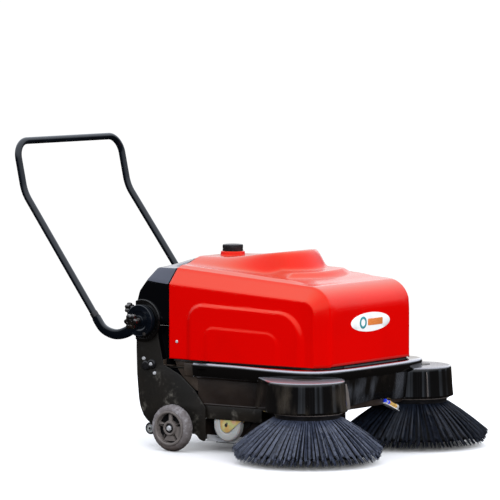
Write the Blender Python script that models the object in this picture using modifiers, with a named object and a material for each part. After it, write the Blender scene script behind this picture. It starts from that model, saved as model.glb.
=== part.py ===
"""A battery walk-behind sweeper: red hood, black chassis, two side brushes and a folding push handle.

Metres, +X forward, +Y to the operator's left, +Z up. The origin is on the floor below the centre of
the machine's box. "Ahead" is a distance in front of the rear wheels' axle. Right is the -Y side.
"""
import bmesh
import bpy
from math import acos, asin, cos, hypot, pi, radians, sin, tan
from mathutils import Matrix, Vector

OBJECT_NAME = "walk_behind_sweeper"
CUTTER_COLLECTION = "cutters"
RIGHT, LEFT = -1, 1
SIDES = ((RIGHT, "right"), (LEFT, "left"))

GAP = 0.0003                # play between pieces that touch
AXLE_X = -0.04425           # rear wheels' axle, in the object's frame

# wheels
WHEEL_RADIUS = 0.080
TYRE_INNER = 0.054
WHEEL_OUTER_Y = 0.349
TYRE_WIDTH = 0.040
RIM_WIDTH = 0.022
RIM_OUTER_Y = 0.337
RIM_SPOKES = 5
AXLE_RADIUS = 0.008
CASTER_RADIUS = 0.055
CASTER_AHEAD, CASTER_Y, CASTER_Z = 0.179, 0.249, 0.0945
CASTER_WIDTH = 0.026
HOPPER_WHEEL_RADIUS = 0.021
HOPPER_WHEEL_AHEAD, HOPPER_WHEEL_Y, HOPPER_WHEEL_Z = -0.188, 0.200, 0.055

# hood
HOOD_HALF_WIDTH = 0.283     # flat side panels
HOOD_TOP_HALF_WIDTH = 0.235     # where the long chamfer meets the top
HOOD_REAR, HOOD_FRONT = -0.047, 0.591
HOOD_BOTTOM = 0.311
HOOD_SKIN = 0.005
TOP_EDGE_REAR, TOP_EDGE_FRONT = 0.616, 0.577      # heights of the chamfer's upper edge
TOP_ARC_START, TOP_ARC_RADIUS = 0.503, 0.088
SIDE_EDGE_REAR, SIDE_EDGE_FRONT = 0.565, 0.531    # heights of the chamfer's lower edge
SIDE_ARC_START, SIDE_ARC_RADIUS = 0.510, 0.043
NOSE_AHEAD = 0.295          # centre of the raised tank's round nose
TANK_REAR, TANK_CLIMB = 0.651, 0.034    # height of the tank's top at the rear, and how far it climbs
NECK_AHEAD, NECK_RADIUS, NECK_TOP = 0.015, 0.0425, 0.665
CAP_RADIUS, CAP_HEIGHT = 0.0355, 0.0225

# chassis
PLATE_Y = 0.2745            # middle of the rear side plates
PLATE_THICKNESS = 0.005
DECK_Z, DECK_THICKNESS = 0.2808, 0.0045
TRAY_Z, TRAY_THICKNESS = 0.2925, 0.014
CHAMBER_Y, CHAMBER_WALL = 0.200, 0.004
CHAMBER_REAR, CHAMBER_FRONT = 0.060, 0.335
CHAMBER_BOTTOM, CHAMBER_TOP = 0.030, 0.278
BOX_REAR, BOX_FRONT, BOX_Y = 0.062, 0.335, 0.270

# handle
PIVOT_AHEAD, PIVOT_Z = -0.157, 0.4355
INDEX_RADIUS, INDEX_Y, INDEX_THICKNESS = 0.0725, 0.2865, 0.006
ARM_Y, ARM_THICKNESS, ARM_DISC_RADIUS, ARM_HALF_WIDTH = 0.301, 0.022, 0.055, 0.0175
TUBE_RADIUS = 0.0115
HANDLE_JOIN = (-0.348, 0.437)       # where tube and arm meet
HANDLE_KNEE = (-0.668, 0.858)
HANDLE_TOP = (-0.707, 1.035)
HANDLE_TOP_Y = 0.295

# brushes
BRUSH_AHEAD, BRUSH_Y = 0.557, 0.323
BRUSH_TIP_RADIUS, BRUSH_FLOOR_RADIUS, BRUSH_TIP_Z = 0.250, 0.240, 0.041
BRUSH_PLATE_RADIUS, BRUSH_PLATE_BOTTOM, BRUSH_PLATE_TOP = 0.117, 0.150, 0.162
SHROUD_RADIUS, SHROUD_BOTTOM, SHROUD_TOP, SHROUD_WALL = 0.138, 0.172, 0.284, 0.004
SHROUD_CENTRE = (0.548, 0.321)          # round front of the cup, ahead and out
SHROUD_CORNER, SHROUD_CORNER_RADIUS = (0.373, 0.312), 0.030
ROLLER_AHEAD, ROLLER_Z = 0.2155, 0.118
ROLLER_RADIUS, ROLLER_HALF_LENGTH, ROLLER_CORE_RADIUS = 0.114, 0.188, 0.045
MOTOR_AHEAD, MOTOR_Z, MOTOR_RADIUS = 0.150, 0.3520, 0.046
BELT_Y, BELT_WIDTH, BELT_THICKNESS = 0.217, 0.010, 0.004
ROLLER_PULLEY_RADIUS, MOTOR_PULLEY_RADIUS = 0.036, 0.020

# hopper
HOPPER_HALF_WIDTH, HOPPER_WALL = 0.262, 0.004
HOPPER_TOP, HOPPER_FRONT = 0.420, 0.058
HOPPER_SHELF, HOPPER_STEP = 0.272, -0.062      # its low front part runs under the deck


def at(ahead, y, z):
    """A point in the object's frame, from its distance ahead of the rear axle."""
    return Vector((AXLE_X + ahead, y, z))


def ease(t):
    """0 to 1 with a smooth start and end."""
    t = min(max(t, 0.0), 1.0)
    return t * t * (3 - 2 * t)


def mix(a, b, t):
    return a + (b - a) * t


# ---------------------------------------------------------------- scene and finishes

def clear_scene():
    for thing in list(bpy.data.objects):
        bpy.data.objects.remove(thing, do_unlink=True)


def new_collection(name):
    collection = bpy.data.collections.new(name)
    bpy.context.scene.collection.children.link(collection)
    return collection


def finish(name, colour, roughness, metallic=0.0):
    material = bpy.data.materials.new(name)
    material.use_nodes = True
    shader = material.node_tree.nodes["Principled BSDF"]
    shader.inputs["Base Color"].default_value = (*colour, 1.0)
    shader.inputs["Roughness"].default_value = roughness
    shader.inputs["Metallic"].default_value = metallic
    material.diffuse_color = (*colour, 1.0)
    return material


def place(thing, material, collection=None):
    """Put a piece in the part's collection with its own material."""
    (collection or PARTS).objects.link(thing)
    thing.data.materials.append(material)
    return thing


def as_cutter(thing):
    """Keep a shape only as a guide for a Boolean."""
    for collection in list(thing.users_collection):
        collection.objects.unlink(thing)
    CUTTERS.objects.link(thing)
    thing.hide_render = True
    thing.display_type = 'WIRE'
    return thing


def boolean(target, others, operation):
    for other in others:
        as_cutter(other)
        step = target.modifiers.new(operation.lower(), 'BOOLEAN')
        step.operation = operation
        step.solver = 'EXACT'
        step.object = other
    return target


def unite(target, *others):
    return boolean(target, others, 'UNION')


def carve(target, *others):
    return boolean(target, others, 'DIFFERENCE')


def soften(thing, width, segments=2):
    """Rounded edges on a piece whose scale is 1."""
    bevel = thing.modifiers.new("rounded_edges", 'BEVEL')
    bevel.width = width
    bevel.segments = segments
    bevel.limit_method = 'ANGLE'
    bevel.angle_limit = radians(40)
    return thing


# ---------------------------------------------------------------- shapes

def block(name, low, high, material):
    """A box between two corners."""
    low, high = Vector(low), Vector(high)
    mesh = bpy.data.meshes.new(name)
    bm = bmesh.new()
    bmesh.ops.create_cube(bm, size=1.0)
    bmesh.ops.scale(bm, vec=high - low, verts=bm.verts)
    bm.to_mesh(mesh)
    bm.free()
    thing = bpy.data.objects.new(name, mesh)
    thing.location = (low + high) / 2
    return place(thing, material)


def side_block(name, side, ahead, out, height, material):
    """A box given by ranges ahead of the axle, outwards from the middle and above the floor."""
    ys = sorted((side * out[0], side * out[1]))
    return block(name, at(ahead[0], ys[0], height[0]), at(ahead[1], ys[1], height[1]), material)


AXIS_TURN = {"X": Matrix.Rotation(pi / 2, 4, 'Y'), "Y": Matrix.Rotation(-pi / 2, 4, 'X'), "Z": Matrix()}


def rod(name, centre, axis, radius, length, material, sides=24):
    """A cylinder along X, Y or Z."""
    mesh = bpy.data.meshes.new(name)
    bm = bmesh.new()
    bmesh.ops.create_cone(bm, cap_ends=True, segments=sides, radius1=radius, radius2=radius, depth=length)
    bm.to_mesh(mesh)
    bm.free()
    mesh.shade_smooth()
    mesh.set_sharp_from_angle(angle=radians(40))
    thing = bpy.data.objects.new(name, mesh)
    thing.matrix_world = Matrix.Translation(centre) @ AXIS_TURN[axis]
    return place(thing, material)


def turned(name, centre, axis, profile, material, steps=32, ring=False):
    """A profile of (radius, height) points turned about an axis; it runs down its outer side.

    A ring's profile is a closed loop; any other starts and ends on the axis.
    """
    mesh = bpy.data.meshes.new(name)
    edges = [(i, i + 1) for i in range(len(profile) - 1)]
    if ring:
        edges.append((len(profile) - 1, 0))
    mesh.from_pydata([(radius, 0.0, height) for radius, height in profile], edges, [])
    thing = bpy.data.objects.new(name, mesh)
    screw = thing.modifiers.new("turned", 'SCREW')
    screw.steps = screw.render_steps = steps
    screw.use_merge_vertices = True
    screw.merge_threshold = 0.00005
    screw.use_smooth_shade = True
    thing.matrix_world = Matrix.Translation(centre) @ AXIS_TURN[axis]
    return place(thing, material)


def outline_curve(name, outlines, thickness):
    """Closed flat outlines, the first one solid and the others holes in it, given a thickness."""
    curve = bpy.data.curves.new(name, 'CURVE')
    curve.dimensions = '2D'
    curve.fill_mode = 'BOTH'
    curve.extrude = thickness / 2
    for outline in outlines:
        spline = curve.splines.new('POLY')
        spline.points.add(len(outline) - 1)
        for point, (u, v) in zip(spline.points, outline):
            point.co = (u, v, 0.0, 1.0)
        spline.use_cyclic_u = True
    return bpy.data.objects.new(name, curve)


def upright_plate(name, outlines, y, thickness, material):
    """A plate that stands along the machine; its outlines are (ahead, height) points."""
    thing = outline_curve(name, outlines, thickness)
    thing.matrix_world = Matrix.Translation(at(0, y, 0)) @ Matrix.Rotation(pi / 2, 4, 'X')
    return place(thing, material)


def level_plate(name, outlines, z, thickness, material):
    """A plate that lies flat; its outlines are (ahead, sideways) points."""
    thing = outline_curve(name, outlines, thickness)
    thing.matrix_world = Matrix.Translation(at(0, 0, z))
    return place(thing, material)


def as_mesh(thing):
    """The same piece as a closed mesh, so that a Boolean or a Bevel can work on it."""
    name = thing.name
    bpy.context.view_layer.update()
    evaluated = thing.evaluated_get(bpy.context.evaluated_depsgraph_get())
    mesh = bpy.data.meshes.new_from_object(evaluated)
    bm = bmesh.new()
    bm.from_mesh(mesh)
    bmesh.ops.remove_doubles(bm, verts=bm.verts, dist=0.00005)
    bmesh.ops.recalc_face_normals(bm, faces=bm.faces)
    bm.to_mesh(mesh)
    bm.free()
    twin = bpy.data.objects.new(name, mesh)
    twin.matrix_world = thing.matrix_world.copy()
    collection = thing.users_collection[0]
    bpy.data.objects.remove(thing, do_unlink=True)
    collection.objects.link(twin)
    twin.name = name
    return twin


def tube(name, path, radius, material, resolution=3):
    """A round tube along a path of points, with closed ends."""
    curve = bpy.data.curves.new(name, 'CURVE')
    curve.dimensions = '3D'
    curve.bevel_depth = radius
    curve.bevel_resolution = resolution
    curve.use_fill_caps = True
    spline = curve.splines.new('POLY')
    spline.points.add(len(path) - 1)
    for point, spot in zip(spline.points, path):
        point.co = (*spot, 1.0)
    return place(bpy.data.objects.new(name, curve), material)


def rounded_path(corners, radii, steps):
    """Corner points joined by straight runs, each inner corner rounded to its own radius."""
    path = [corners[0]]
    for before, corner, after, radius in zip(corners, corners[1:], corners[2:], radii):
        back, on = (before - corner).normalized(), (after - corner).normalized()
        half = back.angle(on) / 2
        centre = corner + (back + on).normalized() * (radius / sin(half))
        start = corner + back * (radius / tan(half)) - centre
        end = corner + on * (radius / tan(half)) - centre
        sweep = pi - 2 * half
        for i in range(steps + 1):
            t = i / steps
            path.append(centre + (start * sin((1 - t) * sweep) + end * sin(t * sweep)) / sin(sweep))
    path.append(corners[-1])
    return path


def circle(radius, count, centre=(0.0, 0.0), start=0.0, sweep=2 * pi):
    """Points round a circle, or along an arc when the sweep is less than a full turn."""
    last = count if sweep >= 2 * pi else count - 1
    angles = (start + sweep * i / last for i in range(count))
    return [(centre[0] + radius * cos(a), centre[1] + radius * sin(a)) for a in angles]


def skin(name, rows, thickness, material):
    """A shell whose outer face runs through rows of points, front rows last, right side first."""
    mesh = bpy.data.meshes.new(name)
    bm = bmesh.new()
    grid = [[bm.verts.new(point) for point in row] for row in rows]
    for rear, front in zip(grid, grid[1:]):
        for a, b, c, d in zip(rear, front, front[1:], rear[1:]):
            bm.faces.new((a, b, c, d))
    bmesh.ops.remove_doubles(bm, verts=bm.verts, dist=0.0001)
    bm.to_mesh(mesh)
    bm.free()
    mesh.shade_smooth()
    mesh.set_sharp_from_angle(angle=radians(25))
    thing = bpy.data.objects.new(name, mesh)
    wall = thing.modifiers.new("wall", 'SOLIDIFY')
    wall.thickness = thickness
    wall.offset = -1.0
    return place(thing, material)


# ---------------------------------------------------------------- hood

def top_edge_height(ahead):
    """Height of the long chamfer's upper edge."""
    t = (ahead - HOOD_REAR) / (TOP_ARC_START - HOOD_REAR)
    return mix(TOP_EDGE_REAR, TOP_EDGE_FRONT, t)


def hood_rise(ahead, y):
    """How far the hood's top stands above the chamfer's upper edge: a side strip, the tank and its ledge."""
    strip = 0.008 * ease((HOOD_TOP_HALF_WIDTH - abs(y)) / 0.022) * ease((0.500 - ahead) / 0.10)
    from_nose = hypot(max(ahead - NOSE_AHEAD, 0.0), y)
    forward = (min(ahead, NOSE_AHEAD) - HOOD_REAR) / (NOSE_AHEAD - HOOD_REAR)
    foot, crest = mix(0.205, 0.134, forward), mix(0.090, 0.058, forward)
    edge = top_edge_height(min(ahead, TOP_ARC_START))
    peak = TANK_REAR + TANK_CLIMB * ease((ahead - 0.02) / 0.38) - edge - 0.008
    slope = ease((foot - from_nose) / (foot - crest))
    ledge_foot = mix(0.120, 0.196, ease((ahead - 0.225) / 0.170))
    ledge = 0.020 * ease((ledge_foot - from_nose) / 0.018) * ease((ahead - 0.215) / 0.030)
    return strip + peak * slope + ledge * (1 - slope)


def hood_rows():
    """(upper edge, lower edge, foot) of the hood's side for each row from rear to front."""
    rows = []
    top_steps, arc_steps, face_steps = 20, 5, 3
    foot_bend, foot_face = 0.42, 0.50
    for i in range(top_steps + 1):
        t = i / top_steps
        ahead = mix(HOOD_REAR, TOP_ARC_START, t)
        upper = (ahead, top_edge_height(ahead))
        lower = (mix(HOOD_REAR, SIDE_ARC_START, t), mix(SIDE_EDGE_REAR, SIDE_EDGE_FRONT, t))
        rows.append((upper, lower, mix(HOOD_REAR, foot_bend, t)))
    for i in range(1, arc_steps + 1):
        t = i / arc_steps
        a = t * pi / 2
        upper = (TOP_ARC_START + TOP_ARC_RADIUS * sin(a), TOP_EDGE_FRONT - TOP_ARC_RADIUS * (1 - cos(a)))
        lower = (SIDE_ARC_START + SIDE_ARC_RADIUS * sin(a), SIDE_EDGE_FRONT - SIDE_ARC_RADIUS * (1 - cos(a)))
        rows.append((upper, lower, mix(foot_bend, foot_face, t)))
    (face_x, face_z), (side_x, side_z), _ = rows[-1]
    for i in range(1, face_steps + 1):
        t = i / face_steps
        rows.append(((face_x, mix(face_z, HOOD_BOTTOM, t)), (side_x, mix(side_z, HOOD_BOTTOM, t)),
                     mix(foot_face, side_x, t)))
    return rows


def make_hood(red):
    across = [HOOD_TOP_HALF_WIDTH * t for t in (1.0, 0.925, 0.85, 0.74, 0.63, 0.52, 0.41, 0.3, 0.15)]
    rows = []
    for upper, lower, foot in hood_rows():
        half = [at(foot, -HOOD_HALF_WIDTH, HOOD_BOTTOM), at(lower[0], -HOOD_HALF_WIDTH, lower[1])]
        half += [at(upper[0], -y, upper[1] + hood_rise(upper[0], y)) for y in across]
        middle = at(upper[0], 0, upper[1] + hood_rise(upper[0], 0))
        rows.append(half + [middle] + [Vector((p.x, -p.y, p.z)) for p in reversed(half)])
    hood = skin("hood", rows, HOOD_SKIN, red)
    neck_height = 0.090
    neck_middle = at(NECK_AHEAD, 0, NECK_TOP - neck_height / 2)
    neck = rod("neck_shape", neck_middle, "Z", NECK_RADIUS, neck_height, red, 40)
    return unite(hood, neck)


def make_filler_cap(black):
    low, high = NECK_TOP + GAP, NECK_TOP + GAP + CAP_HEIGHT
    profile = [(0, high), (CAP_RADIUS - 0.003, high), (CAP_RADIUS, high - 0.003), (CAP_RADIUS, low), (0, low)]
    return turned("filler_cap", at(NECK_AHEAD, 0, 0), "Z", profile, black, 40)


def make_hood_fittings(red, zinc):
    soften(block("water_tank", at(-0.030, -0.150, 0.515), at(0.330, 0.150, 0.5745), red), 0.010)
    rod("hood_hinge_rod", at(HOOD_FRONT - 0.0025, 0, 0.3055), "Y", 0.003, 0.320, zinc, 12)
    for side, word in SIDES:
        inner, outer = HOOD_HALF_WIDTH + GAP, HOOD_HALF_WIDTH + 0.004
        head = [(0, outer - inner), (0.004, outer - inner), (0.0065, 0.0015), (0.0065, 0), (0, 0)]
        screw = turned("hood_screw_" + word, at(-0.014, side * inner, 0.370), "Y", head, zinc, 16)
        if side == RIGHT:
            screw.matrix_world = screw.matrix_world @ Matrix.Rotation(pi, 4, 'X')


# ---------------------------------------------------------------- rear cover

def make_rear_cover(black):
    """The black shell behind the hood. Rows go from the low rear edge up and forward."""
    bottom = 0.430
    upper = [(-0.1890, 0.440), (-0.1885, 0.470), (-0.1860, 0.505), (-0.1650, 0.565), (-0.1330, 0.613),
             (-0.1250, 0.616), (-0.0900, 0.616), (-0.0520, 0.616)]
    lower = [(-0.1890, 0.438), (-0.1885, 0.465), (-0.1870, 0.492), (-0.1730, 0.538), (-0.1430, 0.574),
             (-0.1350, 0.574), (-0.0950, 0.569), (-0.0520, 0.565)]
    crown = [0.0, 0.0, 0.0, 0.0, 0.0, 0.009, 0.021, 0.031]
    across = (0.235, 0.200, 0.165, 0.120, 0.060)
    rows = []
    for (x, z), (side_x, side_z), rise in zip(upper, lower, crown):
        half = [at(side_x, -HOOD_HALF_WIDTH, bottom), at(side_x, -HOOD_HALF_WIDTH, side_z)]
        half += [at(x, -y, z + rise * ease((0.235 - y) / 0.14)) for y in across]
        rows.append(half + [at(x, 0, z + rise)] + [Vector((p.x, -p.y, p.z)) for p in reversed(half)])
    return skin("rear_cover", rows, 0.004, black)


# ---------------------------------------------------------------- chassis

SIDE_PLATE_OUTLINE = [(-0.181, 0.490), (-0.182, 0.427), (-0.192, 0.427), (-0.1925, 0.335), (-0.1895, 0.239),
                      (-0.183, 0.170), (-0.1765, 0.138), (-0.163, 0.109), (-0.143, 0.089), (-0.110, 0.072),
                      (-0.065, 0.062), (0.062, 0.057),
                      (0.075, 0.040), (0.100, 0.034), (0.100, 0.150), (0.056, 0.206), (-0.007, 0.256),
                      (-0.078, 0.289), (-0.102, 0.387), (-0.100, 0.450), (-0.125, 0.490)]


def bumper_outline():
    """The front tray seen from above: square at the back, round at the front corners."""
    half = [(0.070, 0.298), (0.250, 0.298), (0.330, 0.312), (0.400, 0.328)]
    half += circle(0.075, 6, (0.552, 0.262), pi / 2, -pi / 2)
    half.append((0.631, 0.180))
    return half + [(ahead, -y) for ahead, y in reversed(half)]


def make_chassis(black, satin, steel, zinc):
    deck = [(-0.0545, 0.2715), (0.055, 0.2715), (0.055, 0.204), (0.420, 0.204)]
    deck += [(ahead, -y) for ahead, y in reversed(deck)]
    level_plate("main_deck", [deck], DECK_Z, DECK_THICKNESS, steel)

    bumper = as_mesh(level_plate("front_bumper", [bumper_outline()], TRAY_Z, TRAY_THICKNESS, black))
    skirts = [side_block("tray_skirt_" + word, side, (0.072, 0.325), (0.2925, 0.2970), (0.258, TRAY_Z), black)
              for side, word in SIDES]
    front_wall = block("front_wall_shape", at(0.606, -0.176, 0.190), at(0.622, 0.176, TRAY_Z), black)
    belt_slot = block("belt_slot", at(0.120, -0.228, 0.20), at(0.270, -0.208, 0.40), black)
    unite(bumper, front_wall, *skirts)
    carve(bumper, belt_slot)

    chamber = block("brush_chamber", at(CHAMBER_REAR, -CHAMBER_Y, CHAMBER_BOTTOM),
                    at(CHAMBER_FRONT, CHAMBER_Y, CHAMBER_TOP), steel)
    inner_y = CHAMBER_Y - CHAMBER_WALL
    room = block("chamber_room", at(CHAMBER_REAR - 0.02, -inner_y, 0.0),
                 at(CHAMBER_FRONT - CHAMBER_WALL, inner_y, CHAMBER_TOP - CHAMBER_WALL), steel)
    shaft_hole = rod("shaft_hole", at(ROLLER_AHEAD, 0, ROLLER_Z), "Y", 0.0105, 0.5, steel)
    carve(chamber, room, shaft_hole)

    for side, word in SIDES:
        upright_plate("side_plate_" + word, [SIDE_PLATE_OUTLINE], side * PLATE_Y, PLATE_THICKNESS, satin)
        upper_box = soften(side_block("side_box_" + word, side, (BOX_REAR, BOX_FRONT), (0.228, BOX_Y),
                                      (0.158, 0.252), satin), 0.003, 1)
        apron = side_block("apron_shape_" + word, side, (0.075, BOX_FRONT - 0.002), (0.2662, 0.2688),
                           (0.113, 0.200), satin)
        unite(upper_box, apron)
        make_shroud(side, word, black)
        slot = side_block("strip_slot_" + word, side, (0.135, 0.160), (0.15, 0.25), (0.0375, 0.0440), zinc)
        strip = side_block("skirt_strip_" + word, side, (0.105, 0.300), (CHAMBER_Y + GAP, CHAMBER_Y + 0.0033),
                           (0.0305, 0.0500), zinc)
        carve(strip, slot)


def shroud_outline(side, inset):
    """The cup from above: a round front joined to a small round corner behind it by straight walls."""
    big, small = Vector(SHROUD_CENTRE), Vector(SHROUD_CORNER)
    r, corner_r = SHROUD_RADIUS - inset, SHROUD_CORNER_RADIUS - inset
    run = big - small
    heading = Vector((1, 0)).angle_signed(run) * -1
    lean = asin((SHROUD_RADIUS - SHROUD_CORNER_RADIUS) / run.length)
    quarter = pi / 2 + lean
    points = circle(r, 36, tuple(big), heading - quarter, 2 * quarter)
    points += circle(corner_r, 10, tuple(small), heading + quarter, 2 * (pi - quarter))
    return [(ahead, side * y) for ahead, y in points]


def make_shroud(side, word, black):
    """The cup over a side brush: a lid and a skirt, open below."""
    top, low, wall = SHROUD_TOP, SHROUD_BOTTOM, SHROUD_WALL
    plan = [shroud_outline(side, 0)]
    cup = as_mesh(level_plate("brush_shroud_" + word, plan, (top + low) / 2, top - low, black))
    inner_top = top - wall
    room = level_plate("shroud_room_" + word, [shroud_outline(side, wall)], (inner_top + 0.10) / 2,
                       inner_top - 0.10, black)
    carve(cup, as_mesh(room))


# ---------------------------------------------------------------- handle

def make_index_plate(side, word, satin):
    """A round boss on the chassis side, cut off flush with the machine's rear edge."""
    chord = 0.031
    reach = acos(-chord / INDEX_RADIUS)
    outline = circle(INDEX_RADIUS, 40, (PIVOT_AHEAD, PIVOT_Z), -reach, 2 * reach)
    upright_plate("pivot_plate_" + word, [outline], side * INDEX_Y, INDEX_THICKNESS, satin)


def arm_outline():
    """The bent arm from the tube's end to the pivot disc, as an even strip along its middle line."""
    middle = [(-0.348, 0.437), (-0.327, 0.411), (-0.302, 0.394), (-0.272, 0.386), (-0.240, 0.387),
              (-0.207, 0.397), (-0.170, 0.418)]
    points = [Vector(p) for p in middle]
    near, far = [], []
    for i, point in enumerate(points):
        run = points[min(i + 1, len(points) - 1)] - points[max(i - 1, 0)]
        if i == 0:
            run = Vector(HANDLE_JOIN) - Vector(HANDLE_KNEE)
        across = Vector((-run.y, run.x)).normalized() * ARM_HALF_WIDTH
        near.append(tuple(point + across))
        far.append(tuple(point - across))
    return near + far[::-1]


def star_outline(radius, lobes, depth, count=48):
    turns = (2 * pi * i / count for i in range(count))
    return [((radius - depth * (0.5 - 0.5 * cos(lobes * a))) * cos(a),
             (radius - depth * (0.5 - 0.5 * cos(lobes * a))) * sin(a)) for a in turns]


def star_knob(name, centre, axis, outward, radius, thickness, stem, black):
    """A lobed clamping knob with its stem pointing inwards; outward is +1 or -1 along the axis."""
    knob = outline_curve(name, [star_outline(radius, 6, radius * 0.22)], thickness)
    knob.matrix_world = Matrix.Translation(centre) @ AXIS_TURN[axis]
    knob = soften(as_mesh(place(knob, black)), 0.003, 1)
    direction = AXIS_TURN[axis] @ Vector((0, 0, outward))
    middle = centre - direction * (stem / 2 + thickness / 4)
    neck = rod(name + "_stem_shape", middle, axis, radius * 0.38, stem + thickness / 2, black, 20)
    return unite(knob, neck)


def make_handle(black, satin):
    lower, knee, top = HANDLE_JOIN, HANDLE_KNEE, HANDLE_TOP
    run = (Vector(lower) - Vector(knee)).normalized() * (GAP / 2)
    right = [at(lower[0] - run.x, -ARM_Y, lower[1] - run.y), at(knee[0], -HANDLE_TOP_Y, knee[1]),
             at(top[0], -HANDLE_TOP_Y, top[1])]
    left = [Vector((p.x, -p.y, p.z)) for p in reversed(right)]
    path = rounded_path(right + left, (0.14, 0.06, 0.06, 0.14), 7)
    tube("handle_tube", path, TUBE_RADIUS, black)
    for side, word in SIDES:
        make_index_plate(side, word, satin)
        arm = upright_plate("handle_arm_" + word, [arm_outline()], side * ARM_Y, ARM_THICKNESS, black)
        arm = as_mesh(arm)
        disc_middle, disc_thickness = ARM_Y, ARM_THICKNESS - 0.002
        disc = rod("disc_shape_" + word, at(PIVOT_AHEAD, side * disc_middle, PIVOT_Z), "Y", ARM_DISC_RADIUS,
                   disc_thickness, black, 40)
        unite(arm, disc)
        arm_face = ARM_Y + ARM_THICKNESS / 2
        star_knob("pivot_knob_" + word, at(PIVOT_AHEAD, side * 0.350, PIVOT_Z), "Y", side, 0.027, 0.020,
                  0.350 - 0.010 - arm_face - GAP, black)
        star_knob("cover_knob_" + word, at(-0.240, side * 0.253, 0.471), "X", -1, 0.020, 0.018,
                  0.240 - 0.009 - 0.1888 - GAP, black)


# ---------------------------------------------------------------- wheels

def wedge(inner, outer, half_spoke, start, end):
    """A window between two spokes of even width."""
    def arc(radius, count):
        lean = asin(half_spoke / radius)
        return circle(radius, count, (0, 0), start + lean, end - start - 2 * lean)
    return arc(outer, 8) + arc(inner, 4)[::-1]


def make_rear_wheels(tyre_grey, rim_grey, zinc):
    half = TYRE_WIDTH / 2
    middle = WHEEL_OUTER_Y - half
    r, ri = WHEEL_RADIUS, TYRE_INNER
    tread = [(ri, half - 0.001), (r - 0.010, half), (r - 0.003, half - 0.004), (r, half - 0.012),
             (r, 0.012 - half), (r - 0.003, 0.004 - half), (r - 0.010, -half), (ri, 0.001 - half)]
    for side, word in SIDES:
        turned("rear_tyre_" + word, at(0, side * middle, WHEEL_RADIUS), "Y", tread, tyre_grey, 48, ring=True)
        spokes = [wedge(0.0215, 0.0455, 0.0045, 2 * pi * i / RIM_SPOKES, 2 * pi * (i + 1) / RIM_SPOKES)
                  for i in range(RIM_SPOKES)]
        outlines = [circle(ri - GAP, 48), circle(AXLE_RADIUS + GAP, 20)] + spokes
        rim = outline_curve("rear_rim_" + word, outlines, RIM_WIDTH)
        rim_middle = at(0, side * (RIM_OUTER_Y - RIM_WIDTH / 2), WHEEL_RADIUS)
        rim.matrix_world = Matrix.Translation(rim_middle) @ Matrix.Rotation(pi / 2, 4, 'X')
        place(rim, rim_grey)
        inner = PLATE_Y + PLATE_THICKNESS / 2 + GAP
        nut_low, nut_high = RIM_OUTER_Y + GAP, RIM_OUTER_Y + 0.008
        rim_inner = RIM_OUTER_Y - RIM_WIDTH - GAP
        bolt = [(0, nut_high), (0.010, nut_high), (0.011, nut_low), (AXLE_RADIUS, nut_low),
                (AXLE_RADIUS, rim_inner), (0.0145, rim_inner), (0.0145, inner), (0, inner)]
        axle = turned("axle_bolt_" + word, at(0, 0, WHEEL_RADIUS), "Y", bolt, zinc, 24)
        if side == RIGHT:
            axle.matrix_world = axle.matrix_world @ Matrix.Rotation(pi, 4, 'X')


def make_casters(nylon, yellow_zinc):
    half = CASTER_WIDTH / 2
    r, pin = CASTER_RADIUS, 0.006
    profile = [(pin + GAP, half), (r - 0.004, half), (r, half - 0.004), (r, 0.004 - half),
               (r - 0.004, -half), (pin + GAP, -half)]
    tip = 0.024
    crown_low, crown_high = CASTER_Z + CASTER_RADIUS + 0.002, 0.158 - GAP
    cheek = [(-tip, crown_high - CASTER_Z - 0.002), (-tip, 0)] + circle(tip, 10, (0, 0), pi * 1.08, pi * 0.67)
    cheek += [(0.072, 0.027), (0.072, crown_high - CASTER_Z - 0.002)]
    for side, word in SIDES:
        turned("caster_wheel_" + word, at(CASTER_AHEAD, side * CASTER_Y, CASTER_Z), "Y", profile, nylon, 40,
               ring=True)
        outline = [(CASTER_AHEAD + u, CASTER_Z + v) for u, v in cheek]
        cheek_middle = half + 0.0013
        bracket = block("caster_bracket_" + word, at(CASTER_AHEAD - tip, side * CASTER_Y - 0.0155, crown_low),
                        at(CASTER_AHEAD + 0.072, side * CASTER_Y + 0.0155, crown_high), yellow_zinc)
        outer_cheek = as_mesh(upright_plate("cheek_outer_" + word, [outline],
                                            side * (CASTER_Y + cheek_middle), 0.002, yellow_zinc))
        inner_cheek = as_mesh(upright_plate("cheek_inner_" + word, [outline],
                                            side * (CASTER_Y - cheek_middle), 0.002, yellow_zinc))
        axle = rod("caster_pin_" + word, at(CASTER_AHEAD, side * CASTER_Y, CASTER_Z), "Y", pin,
                   2 * cheek_middle + 0.003, yellow_zinc, 16)
        unite(bracket, outer_cheek, inner_cheek, axle)


# ---------------------------------------------------------------- brushes

def make_side_brushes(black, bristle, steel):
    for side, word in SIDES:
        centre = at(BRUSH_AHEAD, side * BRUSH_Y, 0)
        low, high, r = BRUSH_PLATE_BOTTOM, BRUSH_PLATE_TOP, BRUSH_PLATE_RADIUS
        shaft_top, motor_low = 0.192, 0.1923
        hub = [(0, shaft_top), (0.008, shaft_top), (0.008, 0.176), (0.030, 0.174), (0.034, high),
               (r - 0.002, high), (r, high - 0.002), (r, low + 0.002), (r - 0.002, low), (0, low)]
        turned("brush_plate_" + word, centre, "Z", hub, black, 48)
        cone = [(r - 0.003, low - GAP), (BRUSH_TIP_RADIUS, BRUSH_TIP_Z), (BRUSH_FLOOR_RADIUS, 0.0),
                (0.180, 0.0), (0.060, low - 0.030), (0.055, low - GAP)]
        turned("brush_bristles_" + word, centre, "Z", cone, bristle, 48, ring=True)
        lid = SHROUD_TOP - SHROUD_WALL - GAP
        motor = [(0, lid), (0.050, lid), (0.050, 0.222), (0.044, 0.214), (0.030, 0.212), (0.028, motor_low),
                 (0, motor_low)]
        turned("side_motor_" + word, centre, "Z", motor, steel, 28)


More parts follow.
